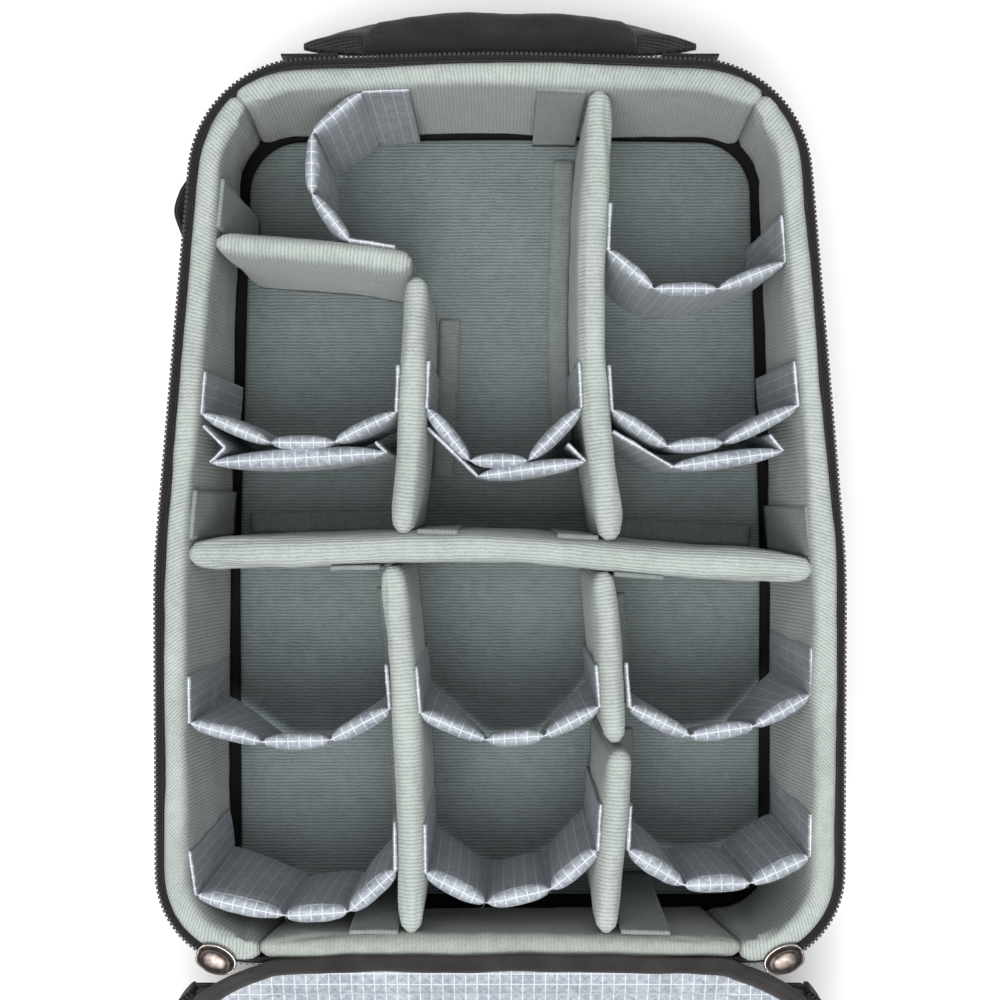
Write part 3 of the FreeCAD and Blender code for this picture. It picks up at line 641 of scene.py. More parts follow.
class Finish:
    """A material being put together from nodes."""

    def __init__(self, name, roughness, sheen=0.0, metallic=0.0, specular=0.5):
        self.material = bpy.data.materials.new(name)
        self.material.use_nodes = True
        self.tree = self.material.node_tree
        self.shader = self.tree.nodes["Principled BSDF"]
        self.shader.inputs["Roughness"].default_value = roughness
        self.shader.inputs["Metallic"].default_value = metallic
        self.shader.inputs["Specular IOR Level"].default_value = specular
        self.shader.inputs["Sheen Weight"].default_value = sheen
        self.shader.inputs["Sheen Roughness"].default_value = 0.4

    def put(self, socket, value):
        """Set or link a socket."""
        if isinstance(value, bpy.types.NodeSocket):
            self.tree.links.new(value, socket)
        else:
            socket.default_value = value

    def math(self, operation, first, second=0.0, third=0.0):
        """Maths on one to three values."""
        node = self.tree.nodes.new("ShaderNodeMath")
        node.operation = operation
        for socket, value in zip(node.inputs, (first, second, third)):
            self.put(socket, value)
        return node.outputs[0]

    def total(self, *parts):
        """Sum of values, each with its weight."""
        result = 0.0
        for value, weight in parts:
            result = self.math("MULTIPLY_ADD", value, weight, result)
        return result

    def ramp(self, value, low, high):
        """Value carried smoothly to 0 at low and 1 at high."""
        node = self.tree.nodes.new("ShaderNodeMapRange")
        node.interpolation_type = "SMOOTHSTEP"
        for label, number in (("Value", value), ("From Min", low), ("From Max", high)):
            self.put(node.inputs[label], number)
        return node.outputs[0]

    def layer(self, name):
        """Named value stored at the mesh's points."""
        node = self.tree.nodes.new("ShaderNodeAttribute")
        node.attribute_name = name
        return node.outputs["Fac"]

    def place(self, axis):
        """Object coordinate along X, Y or Z."""
        coordinates = self.tree.nodes.new("ShaderNodeTexCoord")
        split = self.tree.nodes.new("ShaderNodeSeparateXYZ")
        self.tree.links.new(coordinates.outputs["Object"], split.inputs[0])
        return split.outputs[axis]

    def noise(self, size, detail=2.0, stretch=(1, 1, 1)):
        """Noise of a feature size in metres, from the object's own coordinates."""
        coordinates = self.tree.nodes.new("ShaderNodeTexCoord")
        mapping = self.tree.nodes.new("ShaderNodeMapping")
        mapping.inputs["Scale"].default_value = stretch
        self.tree.links.new(coordinates.outputs["Object"], mapping.inputs["Vector"])
        node = self.tree.nodes.new("ShaderNodeTexNoise")
        node.inputs["Scale"].default_value = 1 / size
        node.inputs["Detail"].default_value = detail
        self.tree.links.new(mapping.outputs[0], node.inputs["Vector"])
        return node.outputs["Fac"]

    def blend(self, share, first, second):
        """Colour between two by a share."""
        node = self.tree.nodes.new("ShaderNodeMix")
        node.data_type = "RGBA"
        for index, value in ((0, share), (6, first), (7, second)):
            self.put(node.inputs[index], value)
        return node.outputs[2]

    def wave(self, value, pitch):
        """Smooth wave from 0 to 1 along a value."""
        turned = self.math("MULTIPLY", value, 2 * math.pi / pitch)
        return self.math("MULTIPLY_ADD", self.math("SINE", turned), 0.5, 0.5)

    def line(self, value, pitch, width):
        """1 on evenly spaced lines of a width along a value, one of them at 0."""
        away = self.math("PINGPONG", value, pitch / 2)
        return self.math("SUBTRACT", 1.0, self.ramp(away, width * 0.25, width * 0.75))

    def colour(self, value):
        self.put(self.shader.inputs["Base Color"], value)

    def relief(self, height, depth):
        """Bump from a height of 0 to 1 over a depth in metres."""
        node = self.tree.nodes.new("ShaderNodeBump")
        node.inputs["Distance"].default_value = depth
        self.put(node.inputs["Height"], height)
        self.tree.links.new(node.outputs[0], self.shader.inputs["Normal"])
        return self.material


def ribbed_fabric(name, light, dark, across=None, ribbed=1.0):
    """Brushed loop fabric with fine knitted ribs, counted by a stored value or a coordinate."""
    finish = Finish(name, 0.95, sheen=0.25, specular=0.15)
    if across is None:
        rib = finish.layer("rib")
        run = finish.layer("run")
    else:
        rib = finish.place(across)
        run = finish.place("X")
    chevron = finish.math("PINGPONG", run, rib_pitch * 0.45)
    slanted = finish.math("MULTIPLY_ADD", chevron, 0.3, rib)
    drift = finish.total((slanted, 1), (finish.noise(9 * mm), 1.4 * mm), (finish.noise(1.3 * mm), 0.7 * mm))
    ribs = finish.wave(drift, rib_pitch)
    fuzz = finish.noise(0.6 * mm, detail=4.0)
    nap = finish.noise(5 * mm, detail=5.0)
    cloud = finish.noise(45 * mm, detail=3.0)
    raised = finish.math("MULTIPLY", ribs, ribbed)
    shade = finish.total((raised, 0.3), (fuzz, 0.55), (nap, 0.25), (cloud, 0.25))
    finish.colour(finish.blend(finish.ramp(shade, 0.25, 0.95), dark, light))
    return finish.relief(finish.total((raised, 0.5), (fuzz, 0.5)), 0.55 * mm)


def ripstop_fabric(name, face, shadow, thread):
    """Thin coated cloth with a woven grid of pale threads and tiny puckers in each square, with painted shade
    on the puckers and along the diagonal facets of each square.
    """
    finish = Finish(name, 0.42, sheen=0.1, specular=0.45)
    run = finish.layer("run")
    rib = finish.layer("rib")
    lines = finish.math(
        "MAXIMUM", finish.line(run, grid_pitch, grid_line), finish.line(rib, grid_pitch, grid_line)
    )
    # Painted shade: darker diagonals across each grid square, broken up by noise, stand in for the shaded
    # facets of the puckers.
    rising = finish.line(finish.math("ADD", run, rib), grid_pitch, grid_line * 1.4)
    falling = finish.line(finish.math("SUBTRACT", run, rib), grid_pitch, grid_line * 1.4)
    facet_shade_patches = finish.ramp(finish.noise(2.2 * mm, detail=3.0), 0.42, 0.62)
    painted_facet_shade = finish.math("MULTIPLY", finish.math("MAXIMUM", rising, falling), facet_shade_patches)
    weave = finish.math("MULTIPLY", finish.wave(run, 0.7 * mm), finish.wave(rib, 0.7 * mm))
    pucker = finish.noise(2.6 * mm, detail=4.0)
    cloud = finish.noise(16 * mm, detail=2.0)
    # The cloth runs from its face colour to its shadow colour with the pucker noise, which is painted shade
    # of the puckers, and with a broad cloud of uneven tone.
    shade = finish.total((pucker, 0.6), (cloud, 0.4))
    cloth = finish.blend(finish.ramp(shade, 0.3, 0.7), shadow, face)
    # Painted facet shade: the diagonals are mixed halfway towards a darker blue-grey.
    cloth = finish.blend(finish.math("MULTIPLY", painted_facet_shade, 0.5), cloth, srgb(96, 102, 118))
    broken = finish.math("MULTIPLY_ADD", finish.noise(1.2 * mm), 0.5, 0.45)
    finish.colour(finish.blend(finish.math("MULTIPLY", lines, broken), cloth, thread))
    return finish.relief(finish.total((pucker, 0.75), (lines, 0.15), (weave, 0.1)), 0.9 * mm)


def woven_fabric(name, light, dark, pitch=0.9 * mm):
    """Dense woven cloth with a slanting twill, a little uneven."""
    finish = Finish(name, 0.8, sheen=0.15, specular=0.3)
    across, along, up = finish.place("X"), finish.place("Y"), finish.place("Z")
    twill = finish.wave(finish.total((across, 1), (along, 1), (up, 1)), pitch)
    cross = finish.wave(finish.total((across, 1), (along, -1), (up, -1)), pitch * 0.8)
    grain = finish.total((cross, 0.35), (twill, 0.65))
    shade = finish.total((finish.noise(14 * mm, detail=5.0), 0.6), (grain, 0.4))
    finish.colour(finish.blend(finish.ramp(shade, 0.25, 0.8), dark, light))
    return finish.relief(grain, 0.25 * mm)


def webbing_fabric(name, light, dark, pitch):
    """Tape or webbing woven in fine cords, counted by the stored value across it."""
    finish = Finish(name, 0.7, sheen=0.15, specular=0.35)
    cords = finish.wave(finish.layer("rib"), pitch)
    knots = finish.wave(finish.layer("run"), pitch * 0.8)
    weave = finish.total((knots, 0.4), (cords, 0.6))
    shade = finish.total((finish.noise(6 * mm), 0.4), (weave, 0.6))
    finish.colour(finish.blend(finish.ramp(shade, 0.2, 0.9), dark, light))
    return finish.relief(weave, 0.35 * mm)


def moulded_plastic(name, light, dark, roughness):
    """Moulded plastic, faintly mottled and scuffed."""
    finish = Finish(name, roughness, specular=0.5)
    scuff = finish.noise(1.1 * mm, detail=4.0)
    finish.colour(finish.blend(finish.ramp(scuff, 0.35, 0.75), dark, light))
    return finish.relief(scuff, 0.06 * mm)


def plated_metal(name, light, dark, roughness):
    """Plated cast metal with soft blemishes."""
    finish = Finish(name, roughness, metallic=1.0)
    blemish = finish.noise(2.4 * mm, detail=5.0)
    finish.colour(finish.blend(finish.ramp(blemish, 0.3, 0.75), dark, light))
    return finish.relief(blemish, 0.03 * mm)


def mesh_fabric(name, light, dark):
    """Spacer mesh with small open holes in staggered rows."""
    finish = Finish(name, 0.85, sheen=0.2, specular=0.25)
    spots = finish.tree.nodes.new("ShaderNodeTexVoronoi")
    spots.inputs["Scale"].default_value = 1 / (2.6 * mm)
    spots.inputs["Randomness"].default_value = 0.25
    coordinates = finish.tree.nodes.new("ShaderNodeTexCoord")
    finish.tree.links.new(coordinates.outputs["Object"], spots.inputs["Vector"])
    solid = finish.ramp(spots.outputs["Distance"], 0.2, 0.45)
    finish.colour(finish.blend(solid, dark, light))
    return finish.relief(solid, 0.5 * mm)


loop_fabric = ribbed_fabric("loop_fabric", srgb(182, 189, 184), srgb(122, 129, 125), ribbed=0.8)
brushed_fabric = ribbed_fabric("brushed_fabric", srgb(176, 182, 174), srgb(122, 128, 122), ribbed=0.25)
floor_fabric = ribbed_fabric("floor_fabric", srgb(134, 143, 143), srgb(78, 86, 88), across="Y")
flap_fabric = ribbed_fabric("flap_fabric", srgb(150, 158, 155), srgb(98, 105, 104), ribbed=0.35)
ripstop = ripstop_fabric("ripstop", srgb(176, 182, 190), srgb(136, 143, 153), srgb(226, 229, 232))
black_cloth = woven_fabric("black_cloth", srgb(34, 32, 32), srgb(12, 12, 13))
black_lining = woven_fabric("black_lining", srgb(22, 22, 23), srgb(7, 7, 8), pitch=1.3 * mm)
grip_cloth = woven_fabric("grip_cloth", srgb(38, 34, 33), srgb(16, 14, 14), pitch=1.1 * mm)
charcoal_cloth = woven_fabric("charcoal_cloth", srgb(62, 58, 58), srgb(32, 30, 30), pitch=0.8 * mm)
zip_cloth = webbing_fabric("zip_cloth", srgb(30, 27, 27), srgb(10, 9, 10), 1.1 * mm)
strap_cloth = webbing_fabric("strap_cloth", srgb(46, 45, 46), srgb(16, 16, 18), 1.6 * mm)
tooth_plastic = moulded_plastic("tooth_plastic", srgb(22, 20, 19), srgb(9, 8, 8), 0.45)
board_plastic = moulded_plastic("board_plastic", srgb(70, 72, 74), srgb(48, 50, 52), 0.5)
gunmetal = plated_metal("gunmetal", srgb(128, 118, 112), srgb(92, 84, 80), 0.36)
bright_metal = plated_metal("bright_metal", srgb(196, 186, 180), srgb(150, 140, 136), 0.3)
foam_cells = moulded_plastic("foam_cells", srgb(96, 98, 100), srgb(62, 64, 66), 0.9)
back_mesh = mesh_fabric("back_mesh", srgb(58, 59, 62), srgb(14, 14, 15))
pale_thread = woven_fabric("pale_thread", srgb(196, 204, 194), srgb(142, 150, 142), pitch=0.5 * mm)
dark_thread = woven_fabric("dark_thread", srgb(52, 50, 50), srgb(28, 27, 28), pitch=0.5 * mm)


# ---------------------------------------------------------------- cutting lines of the walls

def bottom_seam(line):
    """Negative over the bottom pad and positive beyond its right-hand seam."""
    return line[:, 0] - bottom_pad_half - seam_half_gap * 2


def corner_seams(line):
    """Positive over the top pad, between the seams in the two upper corners."""
    return line[:, 1] - corner_seam_apex - corner_seam_slope * np.abs(line[:, 0]) - seam_half_gap


def below_corner_seams(line):
    """Positive outside the top pad."""
    return -corner_seams(line) - 2 * seam_half_gap


def past_angle(line, angle, side):
    """Positive on the far side of a ray from a lower corner's centre, counted away from the hinge."""
    turn = math.radians(angle)
    ray_x, ray_y = math.cos(turn), -math.sin(turn)
    away_x = line[:, 0] * side - zip_corner[0]
    away_y = line[:, 1] - zip_corner[1]
    return ray_x * away_y - ray_y * away_x


def zip_cuts(angle):
    """Cuts where a zip starts and ends, at an angle round each lower corner."""
    return (lambda line: past_angle(line, angle, 1)), (lambda line: -past_angle(line, angle, -1))


# ---------------------------------------------------------------- wall pads

def pad_hold(rows, outer_side=False):
    """Hold at each point of a pad: firm at its sewn ends and its foot, and down its outer side if asked."""
    low, high = rows[:, :, 2].min(), rows[:, :, 2].max()
    hold = np.clip(1 - (rows[:, :, 2] - low) / (18 * mm), 0, 1)
    hold[:2] = 1
    hold[-2:] = 1
    if outer_side:
        columns = rows.shape[1] // 2
        hold[:, columns:] = np.where(rows[:, columns:, 2] < high - 8 * mm, 1, hold[:, columns:])
    return hold.ravel()


def wall_rows(cuts, count, foot_swell):
    """Rows of a soft wall pad between two cuts, with its stored values."""
    low, high = levels("wall_pad_left")
    offsets, heights = pad_section(pad_half, low, high, pad_ridge, 22)
    rise = (heights - low) / (high - low)
    bulge = np.sin(np.clip(rise, 0, 1) * math.pi) * 0.8 * mm + (1 - rise) ** 3 * foot_swell
    overhang = -rim_overhang * np.clip((rise - 0.93) / 0.05, 0, 1)
    insets = pad_middle + offsets + np.where(offsets > 0, bulge, overhang)
    rows = carried(insets, heights, count, cuts)
    travelled = distances(rows[:, len(heights) // 2, :2])
    return rows, section_layers(rows, travelled, around_ridge(offsets, heights))


def soften_wall(rows, seed):
    """Foam wall softened by handling: gentle waves, small dents and an uneven lower edge."""
    low = rows[:, :, 2].min()
    rows = waved(rows, wall_waves, seed)
    foot = np.clip(1 - (rows[:, :, 2] - low) / (40 * mm), 0, 1) ** 2
    wave = 0.5 + 0.5 * field(rows[:, :, :2], 38 * mm, seed + 2)
    rows[:, :, 2] += foot * (2 * mm + 7 * mm * wave)
    return rows


def wall_pad(name, cuts, length, seed, mirror=False, foot_swell=1.0 * mm):
    """Wall pad between two cuts, as a soft closed form."""
    count = int(length / (3.2 * mm))
    rows, layers = wall_rows(cuts, count, foot_swell)
    rows = narrow_ends(soften_wall(rows, seed), 7 * mm, 0.55, 2 * mm)
    if mirror:
        rows = rows * np.array([-1, 1, 1])
    piece = grid_object(name + "_soft", rows, layers)
    settle(piece, pad_hold(rows, outer_side=True), pad_cap)
    return dress(piece, "bag", "loop_pad", loop_fabric, [name])


def bottom_wall_pad(seed):
    """Straight pad at the hinge end, brushed flat, without ribs."""
    low, high = levels("wall_pad_bottom")
    offsets, heights = pad_section(pad_half, low, high - 1.5 * mm, pad_ridge, 22)
    across = np.linspace(-bottom_pad_half, bottom_pad_half, 76)
    hinge_side = [wall_loop(pad_middle, height)[0, 1] for height in heights]
    rows = np.zeros((len(across), len(heights), 3))
    rows[:, :, 0] = across[:, None]
    rows[:, :, 1] = np.array(hinge_side)[None, :] + offsets[None, :]
    rows[:, :, 2] = heights[None, :]
    layers = section_layers(rows, across, around_ridge(offsets, heights))
    rows = narrow_ends(soften_wall(rows, seed), 7 * mm, 0.5, 3 * mm)
    piece = grid_object("wall_pad_bottom_soft", rows, layers)
    settle(piece, pad_hold(rows, outer_side=True), pad_cap)
    return dress(piece, "bag", "loop_pad", brushed_fabric, ["wall_pad_bottom"])


side_cuts = (bottom_seam, corner_seams)
top_cuts = (corner_seams, below_corner_seams)
wall_pad("wall_pad_right", side_cuts, side_pad_length, 3)
wall_pad("wall_pad_left", side_cuts, side_pad_length, 17, mirror=True)
wall_pad("wall_pad_top", top_cuts, top_pad_length, 29, foot_swell=5.0 * mm)
bottom_wall_pad(41)


# ---------------------------------------------------------------- floor of the compartment

def flat_pad(name, node, slot, finish, seed, roundness, waviness):
    """Flat pad on the bag with rounded edges and a gently uneven top."""
    low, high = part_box(node)
    loop = resample(hull(np.vstack(node_parts(node))[:, :2]), 420, closed=True)
    reach = (high.x - low.x) / 2
    edge_shares, edge_heights = edge_rings(low.z, high.z, roundness, reach, 9)
    inner = list(np.linspace(0.95, 0.02, 26))
    shares = [0.4, 0.8, 1 - roundness / reach] + edge_shares + inner
    heights = [low.z] * 3 + edge_heights + [high.z] * len(inner)
    rings = disc_rows(loop, shares, heights)
    top = rings[:, :, 2] > high.z - 0.5 * mm
    rings[:, :, 2] += np.where(top, field(rings, 60 * mm, seed) * waviness - waviness / 2, 0)
    dress(disc_object(name, rings, disc_layers(rings)), "bag", slot, finish, [node])


flat_pad("floor_pad_soft", "floor_pad", "floor_loop", floor_fabric, 5, 2.5 * mm, 1.2 * mm)
flat_pad("floor_lining_cloth", "floor_lining", "lining_fabric", black_lining, 6, 0.7 * mm, 0.2 * mm)
flat_pad("back_pad_soft", "back_pad", "back_mesh", back_mesh, 7, 5 * mm, 0.4 * mm)
refinish("back_board", board_plastic)


# ---------------------------------------------------------------- stitches and threads

def stitch_points(line, normals):
    """Points and faces of small raised stitches along a line lying on a surface."""
    count = max(2, int(distances(line)[-1] / stitch_pitch))
    centres = resample(line, count * 2 + 1)[1::2]
    facing = resample(normals, count * 2 + 1)[1::2]
    along = np.gradient(centres, axis=0)
    along /= np.linalg.norm(along, axis=1)[:, None]
    side = np.cross(facing, along)
    half = stitch_length / 2
    points = np.stack([
        centres - along * half,
        centres + side * 0.3 * mm,
        centres + facing * 0.4 * mm,
        centres - side * 0.3 * mm,
        centres - facing * 0.2 * mm,
        centres + along * half,
    ], axis=1)
    faces = []
    for base in range(0, len(centres) * 6, 6):
        for corner in range(4):
            beside = (corner + 1) % 4
            faces.append((base, base + 1 + corner, base + 1 + beside))
            faces.append((base + 5, base + 1 + beside, base + 1 + corner))
    return points.reshape(-1, 3), faces


def stitching(name, lines, host, finish):
    """Rows of stitches on a piece, each a line with the surface's normals."""
    points = []
    faces = []
    for line, normals in lines:
        more_points, more_faces = stitch_points(line, normals)
        base = sum(len(group) for group in points)
        points.append(more_points)
        faces += [tuple(corner + base for corner in face) for face in more_faces]
    dress(mesh_object(name, np.vstack(points), faces), host["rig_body"], host["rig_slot"], finish)


# ---------------------------------------------------------------- dividers

def divider(node, seed, lengthwise=False):
    """Upright foam divider with a rounded ridge, softened faces and drawn-in ends."""
    part = node_parts(node)[0]
    low, high = levels(node)
    half = narrowest_thickness(part) / 2 - divider_swelling
    line = curve_through(centre_line(part), 3 * mm)
    offsets, heights = pad_section(half, low, high, 5.5 * mm, 20)
    rows = swept(line, offsets, heights)
    layers = section_layers(rows, distances(line), around_ridge(offsets, heights), lengthwise)
    rows = waved(rows, divider_waves, seed)
    sway = field(line, 70 * mm, seed + 2) * 1.5 * mm
    rise = np.clip((rows[:, :, 2] - low) / (high - low), 0, 1) ** 2
    rows[:, :, :2] += left_normals(line)[:, None, :] * (sway[:, None] * rise)[..., None]
    rows[:, :, 2] += rise * (field(line, 55 * mm, seed + 3) * 1.2 * mm)[:, None]
    rows = narrow_ends(rows, 8 * mm, divider_end_share, 4 * mm)
    piece = grid_object(node + "_soft", rows, layers)
    settle(piece, pad_hold(rows), divider_cap)
    dress(piece, body_of_node(node), "loop_pad", loop_fabric, [node])


divider("main_divider", 51, lengthwise=True)
divider("upper_left_divider", 53)
divider("upper_left_divider_leg", 55)
divider("upper_right_divider", 57)
divider("lower_left_divider", 59)
divider("lower_right_divider", 61)
divider("lower_right_divider_end", 63)


def upright_tab(part, seed):
    """Thin hook tab standing against a face, a little buckled."""
    first, last = end_points(part)
    low, high = part[:, 2].min(), part[:, 2].max()
    line = resample(np.array([first, last]), 14)
    offsets, heights = pad_section(slab_thickness(part) / 2, low, high, 1.0 * mm, 12, 6)
    rows = swept(line, offsets, heights)
    normals = left_normals(line)
    buckle = field(rows, 22 * mm, seed) * 0.7 * mm
    rows[:, :, :2] += normals[:, None, :] * buckle[..., None]
    rows[:, :, 2] += (field(line, 12 * mm, seed + 1) * 0.8 * mm)[:, None] * (heights > low + 20 * mm)
    return grid_object("tab", rows, section_layers(rows, distances(line), around_ridge(offsets, heights)))


def strip_section(width, low, high):
    """Offsets and heights round a flat strip, over its top and back under it."""
    across = np.linspace(width / 2, -width / 2, 8)
    edge = 1 - 0.6 * (np.abs(across) > width / 2 - 0.1 * mm)
    top = low + (high - low) * edge
    return np.concatenate([across, across[::-1]]), np.concatenate([top, np.full(len(top), low)])


def floor_flap(part, seed):
    """Thin flap lying on the floor pad beside a divider, and its two rows of stitches."""
    line = curve_through(centre_line(part), 3 * mm)
    low, high = part[:, 2].min(), part[:, 2].max()
    width = narrowest_thickness(part)
    offsets, heights = strip_section(width, low, high)
    rows = swept(line, offsets, heights)
    rows[:, :, 2] += field(rows[:, :, :2], 18 * mm, seed) * 0.5 * mm
    piece = grid_object("flap", rows, section_layers(rows, distances(line), offsets))
    lines = []
    for column in (1, 6):
        seam = rows[1:-1, column]
        lines.append((seam, np.tile([0.0, 0.0, 1.0], (len(seam), 1))))
    return piece, lines


def flaps(node, seed):
    """All tabs and floor flaps of one divider."""
    pieces = []
    lines = []
    for index, part in enumerate(node_parts(node)):
        if part[:, 2].max() - part[:, 2].min() > upright_least:
            pieces.append(upright_tab(part, seed + index))
        else:
            piece, seams = floor_flap(part, seed + index)
            pieces.append(piece)
            lines += seams
    piece = joined(node + "_cloth", pieces)
    dress(piece, body_of_node(node), "loop_pad", flap_fabric, [node])
    stitching(node + "_stitches", lines, piece, pale_thread)


flaps("main_divider_flaps", 71)
flaps("upper_left_flaps", 75)
flaps("upper_right_flaps", 79)
flaps("lower_left_flaps", 83)
flaps("lower_right_flaps", 87)


# ---------------------------------------------------------------- wraps

def section_ends(part):
    """Ends of one section of a wrap at its top, and the same ends at its foot."""
    top = end_points(part[part[:, 2] > part[:, 2].max() - 0.5 * mm])
    foot = end_points(part[part[:, 2] < part[:, 2].min() + 0.5 * mm])
    if np.dot(top[1] - top[0], foot[1] - foot[0]) < 0:
        foot = foot[::-1]
    return list(zip(top, foot))


def chain(node):
    """Sections of a wrap in order, each its start, its end and a thickness."""
    sections = []
    for part in node_parts(node):
        start, end = section_ends(part)
        sections.append((start, end, slab_thickness(part[part[:, 2] > part[:, 2].max() - 0.5 * mm])))

    def nearest(place, group):
        """Distance, index and end of the section in a group that comes nearest to a place."""
        return min((np.linalg.norm(place - section[end][0]), index, end)
                   for index, section in enumerate(group) for end in (0, 1))

    def loneliness(section, end):
        return nearest(section[end][0], [other for other in sections if other is not section])[0]

    _, index, end = max((loneliness(section, end), index, end)
                        for index, section in enumerate(sections) for end in (0, 1))
    ordered = []
    while True:
        start, finish, thickness = sections.pop(index)
        ordered.append((start, finish, thickness) if end == 0 else (finish, start, thickness))
        if not sections:
            return ordered
        _, index, end = nearest(ordered[-1][1][0], sections)


def pillow_section(half, low, high):
    """Offsets and heights round a thin pillow's section, rounded above and below."""
    side_count = 16
    rounding = min(half * 1.3, 5 * mm)
    arc = np.radians(np.linspace(-78, 0, 5))
    offsets = list(half * np.cos(arc))
    heights = list(low + rounding + rounding * np.sin(arc))
    between = np.linspace(low + rounding, high - rounding, side_count + 2)[1:-1]
    offsets += [half] * side_count
    heights += list(between)
    offsets += list(half * np.cos(arc[::-1]))
    heights += list(high - rounding - rounding * np.sin(arc[::-1]))
    offsets = np.array(offsets + [-offset for offset in reversed(offsets)])
    heights = np.array(heights + heights[::-1])
    return offsets, heights


def wrap_stations(sections):
    """Top place, foot place, half thickness and dip of the ridge of each row of a wrap."""
    stations = []
    for start, end, thickness in sections:
        count = max(6, int(np.linalg.norm(end[0] - start[0]) / (2.0 * mm)))
        for share in np.linspace(0, 1, count + 1):
            top = start[0] + (end[0] - start[0]) * share
            foot = start[1] + (end[1] - start[1]) * share
            if thickness < tab_limit:
                stations.append((top, foot, thickness / 2, 0.0))
                continue
            swell = (1 - abs(2 * share - 1) ** 2.8) ** 0.55
            half = seam_half + (thickness / 2 + wrap_fullness - seam_half) * swell
            stations.append((top, foot, half, seam_dip * (1 - swell)))
    return stations


def wrap_rows(node, seed):
    """Rows of a soft wrap with its stored grid values: thin end tabs, and pads pinched at their seams."""
    low, high = levels(node)
    stations = wrap_stations(chain(node))
    tops = np.array([station[0] for station in stations])
    feet = np.array([station[1] for station in stations])
    normals = left_normals(tops)
    rows = []
    ribs = []
    for top, foot, normal, station in zip(tops, feet, normals, stations):
        half, dip = station[2], station[3]
        offsets, heights = pillow_section(half, low + dip, high - dip)
        rise = np.clip((heights - low) / (high - low), 0, 1)
        if half > tab_limit / 2:
            taper = foot_share + (1 - foot_share) * np.clip(rise * 1.25, 0, 1) ** 0.7
            offsets = seam_half * np.sign(offsets) + (offsets - seam_half * np.sign(offsets)) * taper
        plan = foot + (top - foot) * rise[:, None] + normal * offsets[:, None]
        rows.append(np.column_stack([plan, heights]))
        ribs.append(around_ridge(offsets, heights))
    rows = np.array(rows)
    run = np.broadcast_to(distances(tops)[:, None], rows.shape[:2])
    rows = waved(rows, wrap_waves, seed)
    rows[:, :, 2] += (field(tops, 14 * mm, seed + 2) * 0.8 * mm)[:, None]
    sewn = np.array([half < 1.6 * seam_half or half < tab_limit / 2 for _, _, half, _ in stations])
    hold = np.where(sewn[:, None], 1.0, np.clip(1 - (rows[:, :, 2] - low) / (12 * mm), 0, 1))
    return rows, {"rib": np.array(ribs), "run": run}, hold.ravel()


def wrap_piece(node, seed):
    """One wrap as a soft closed form."""
    rows, layers, hold = wrap_rows(node, seed)
    piece = grid_object(node + "_soft", rows, layers)
    settle(piece, hold, wrap_cap)
    return dress(piece, body_of_node(node), "grid_fabric", ripstop, [node])


def tab_seams(node):
    """Stitch lines near the top and the free edge of a wrap's end tabs, on both faces."""
    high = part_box(node)[1].z
    sections = chain(node)
    lines = []
    for free, root in ((sections[0][0], sections[0][1]), (sections[-1][1], sections[-1][0])):
        start, end = free[0], root[0]
        along = (end - start) / np.linalg.norm(end - start)
        side = np.array([-along[1], along[0]])
        for face in (-1, 1):
            lift = side * face * (tab_half + 0.15 * mm)
            level = np.array([start + along * tab_margin, end - along * tab_margin]) + lift
            top = resample(np.column_stack([level, [high - 2 * tab_margin] * 2]), 12)
            edge = np.array([level[0], level[0]])
            edge = resample(np.column_stack([edge, [high - 2 * tab_margin, high - tab_drop]]), 12)
            normals = np.tile([*(side * face), 0.0], (12, 1))
            lines += [(top, normals), (edge, normals)]
    return lines


def loose_threads(name, places, host, seed):
    """Short curling ends of thread that stand up from sewn places."""
    chance = np.random.default_rng(seed)
    points = []
    faces = []
    steps = np.linspace(0, 1, 6)
    corners = np.radians([90, 210, 330])
    for place in places:
        for _ in range(threads_each):
            turn, bend = chance.uniform(0, 2 * math.pi, 2)
            length = chance.uniform(2.0, 4.5) * mm
            way = np.array([math.cos(turn), math.sin(turn)])
            curl = np.array([math.cos(bend), math.sin(bend)])
            plan = place[:2] + np.outer(steps * length * 0.6, way) + np.outer(steps**2 * length * 0.4, curl)
            height = place[2] + np.sin(steps * 2) * length * 0.4
            for index, share in enumerate(steps):
                radius = thread_radius * (1 - 0.6 * share)
                for corner in corners:
                    points.append((plan[index, 0] + radius * math.cos(corner), plan[index, 1],
                                   height[index] + radius * math.sin(corner)))
            base = len(points) - 3 * len(steps)
            for index in range(len(steps) - 1):
                for corner in range(3):
                    first, second = base + index * 3 + corner, base + index * 3 + (corner + 1) % 3
                    faces.append((first, second, second + 3, first + 3))
    dress(mesh_object(name, points, faces), host["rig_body"], host["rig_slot"], pale_thread)


def sewn_places(node):
    """Tops of the sewn folds between a wrap's sections."""
    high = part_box(node)[1].z
    return [np.array([*section[1][0], high - seam_dip]) for section in chain(node)[:-1]]


wrap_nodes = [name for name in sorted(frame["nodes"]) if name.startswith("wrap_")]
for index, name in enumerate(wrap_nodes):
    wrap = wrap_piece(name, 100 + 5 * index)
    stitching(name + "_stitches", tab_seams(name), wrap, pale_thread)
    loose_threads(name + "_threads", sewn_places(name), wrap, 100 + 5 * index)


# ---------------------------------------------------------------- outer skin and zip

def ring_rows(offsets, heights, middle, count, cuts=None):
    """Rows and stored values of a section carried round the walls."""
    rows = carried(middle + offsets, heights, count, cuts)
    return rows, section_layers(rows, distances(rows[:, 0, :2]), around_ridge(offsets, heights), True)


def round_section(radius, height):
    """Offsets and heights round a cord."""
    count = 10
    angles = np.linspace(0, 2 * math.pi, count, endpoint=False) + math.pi / count
    return radius * np.cos(angles), height + radius * np.sin(angles)


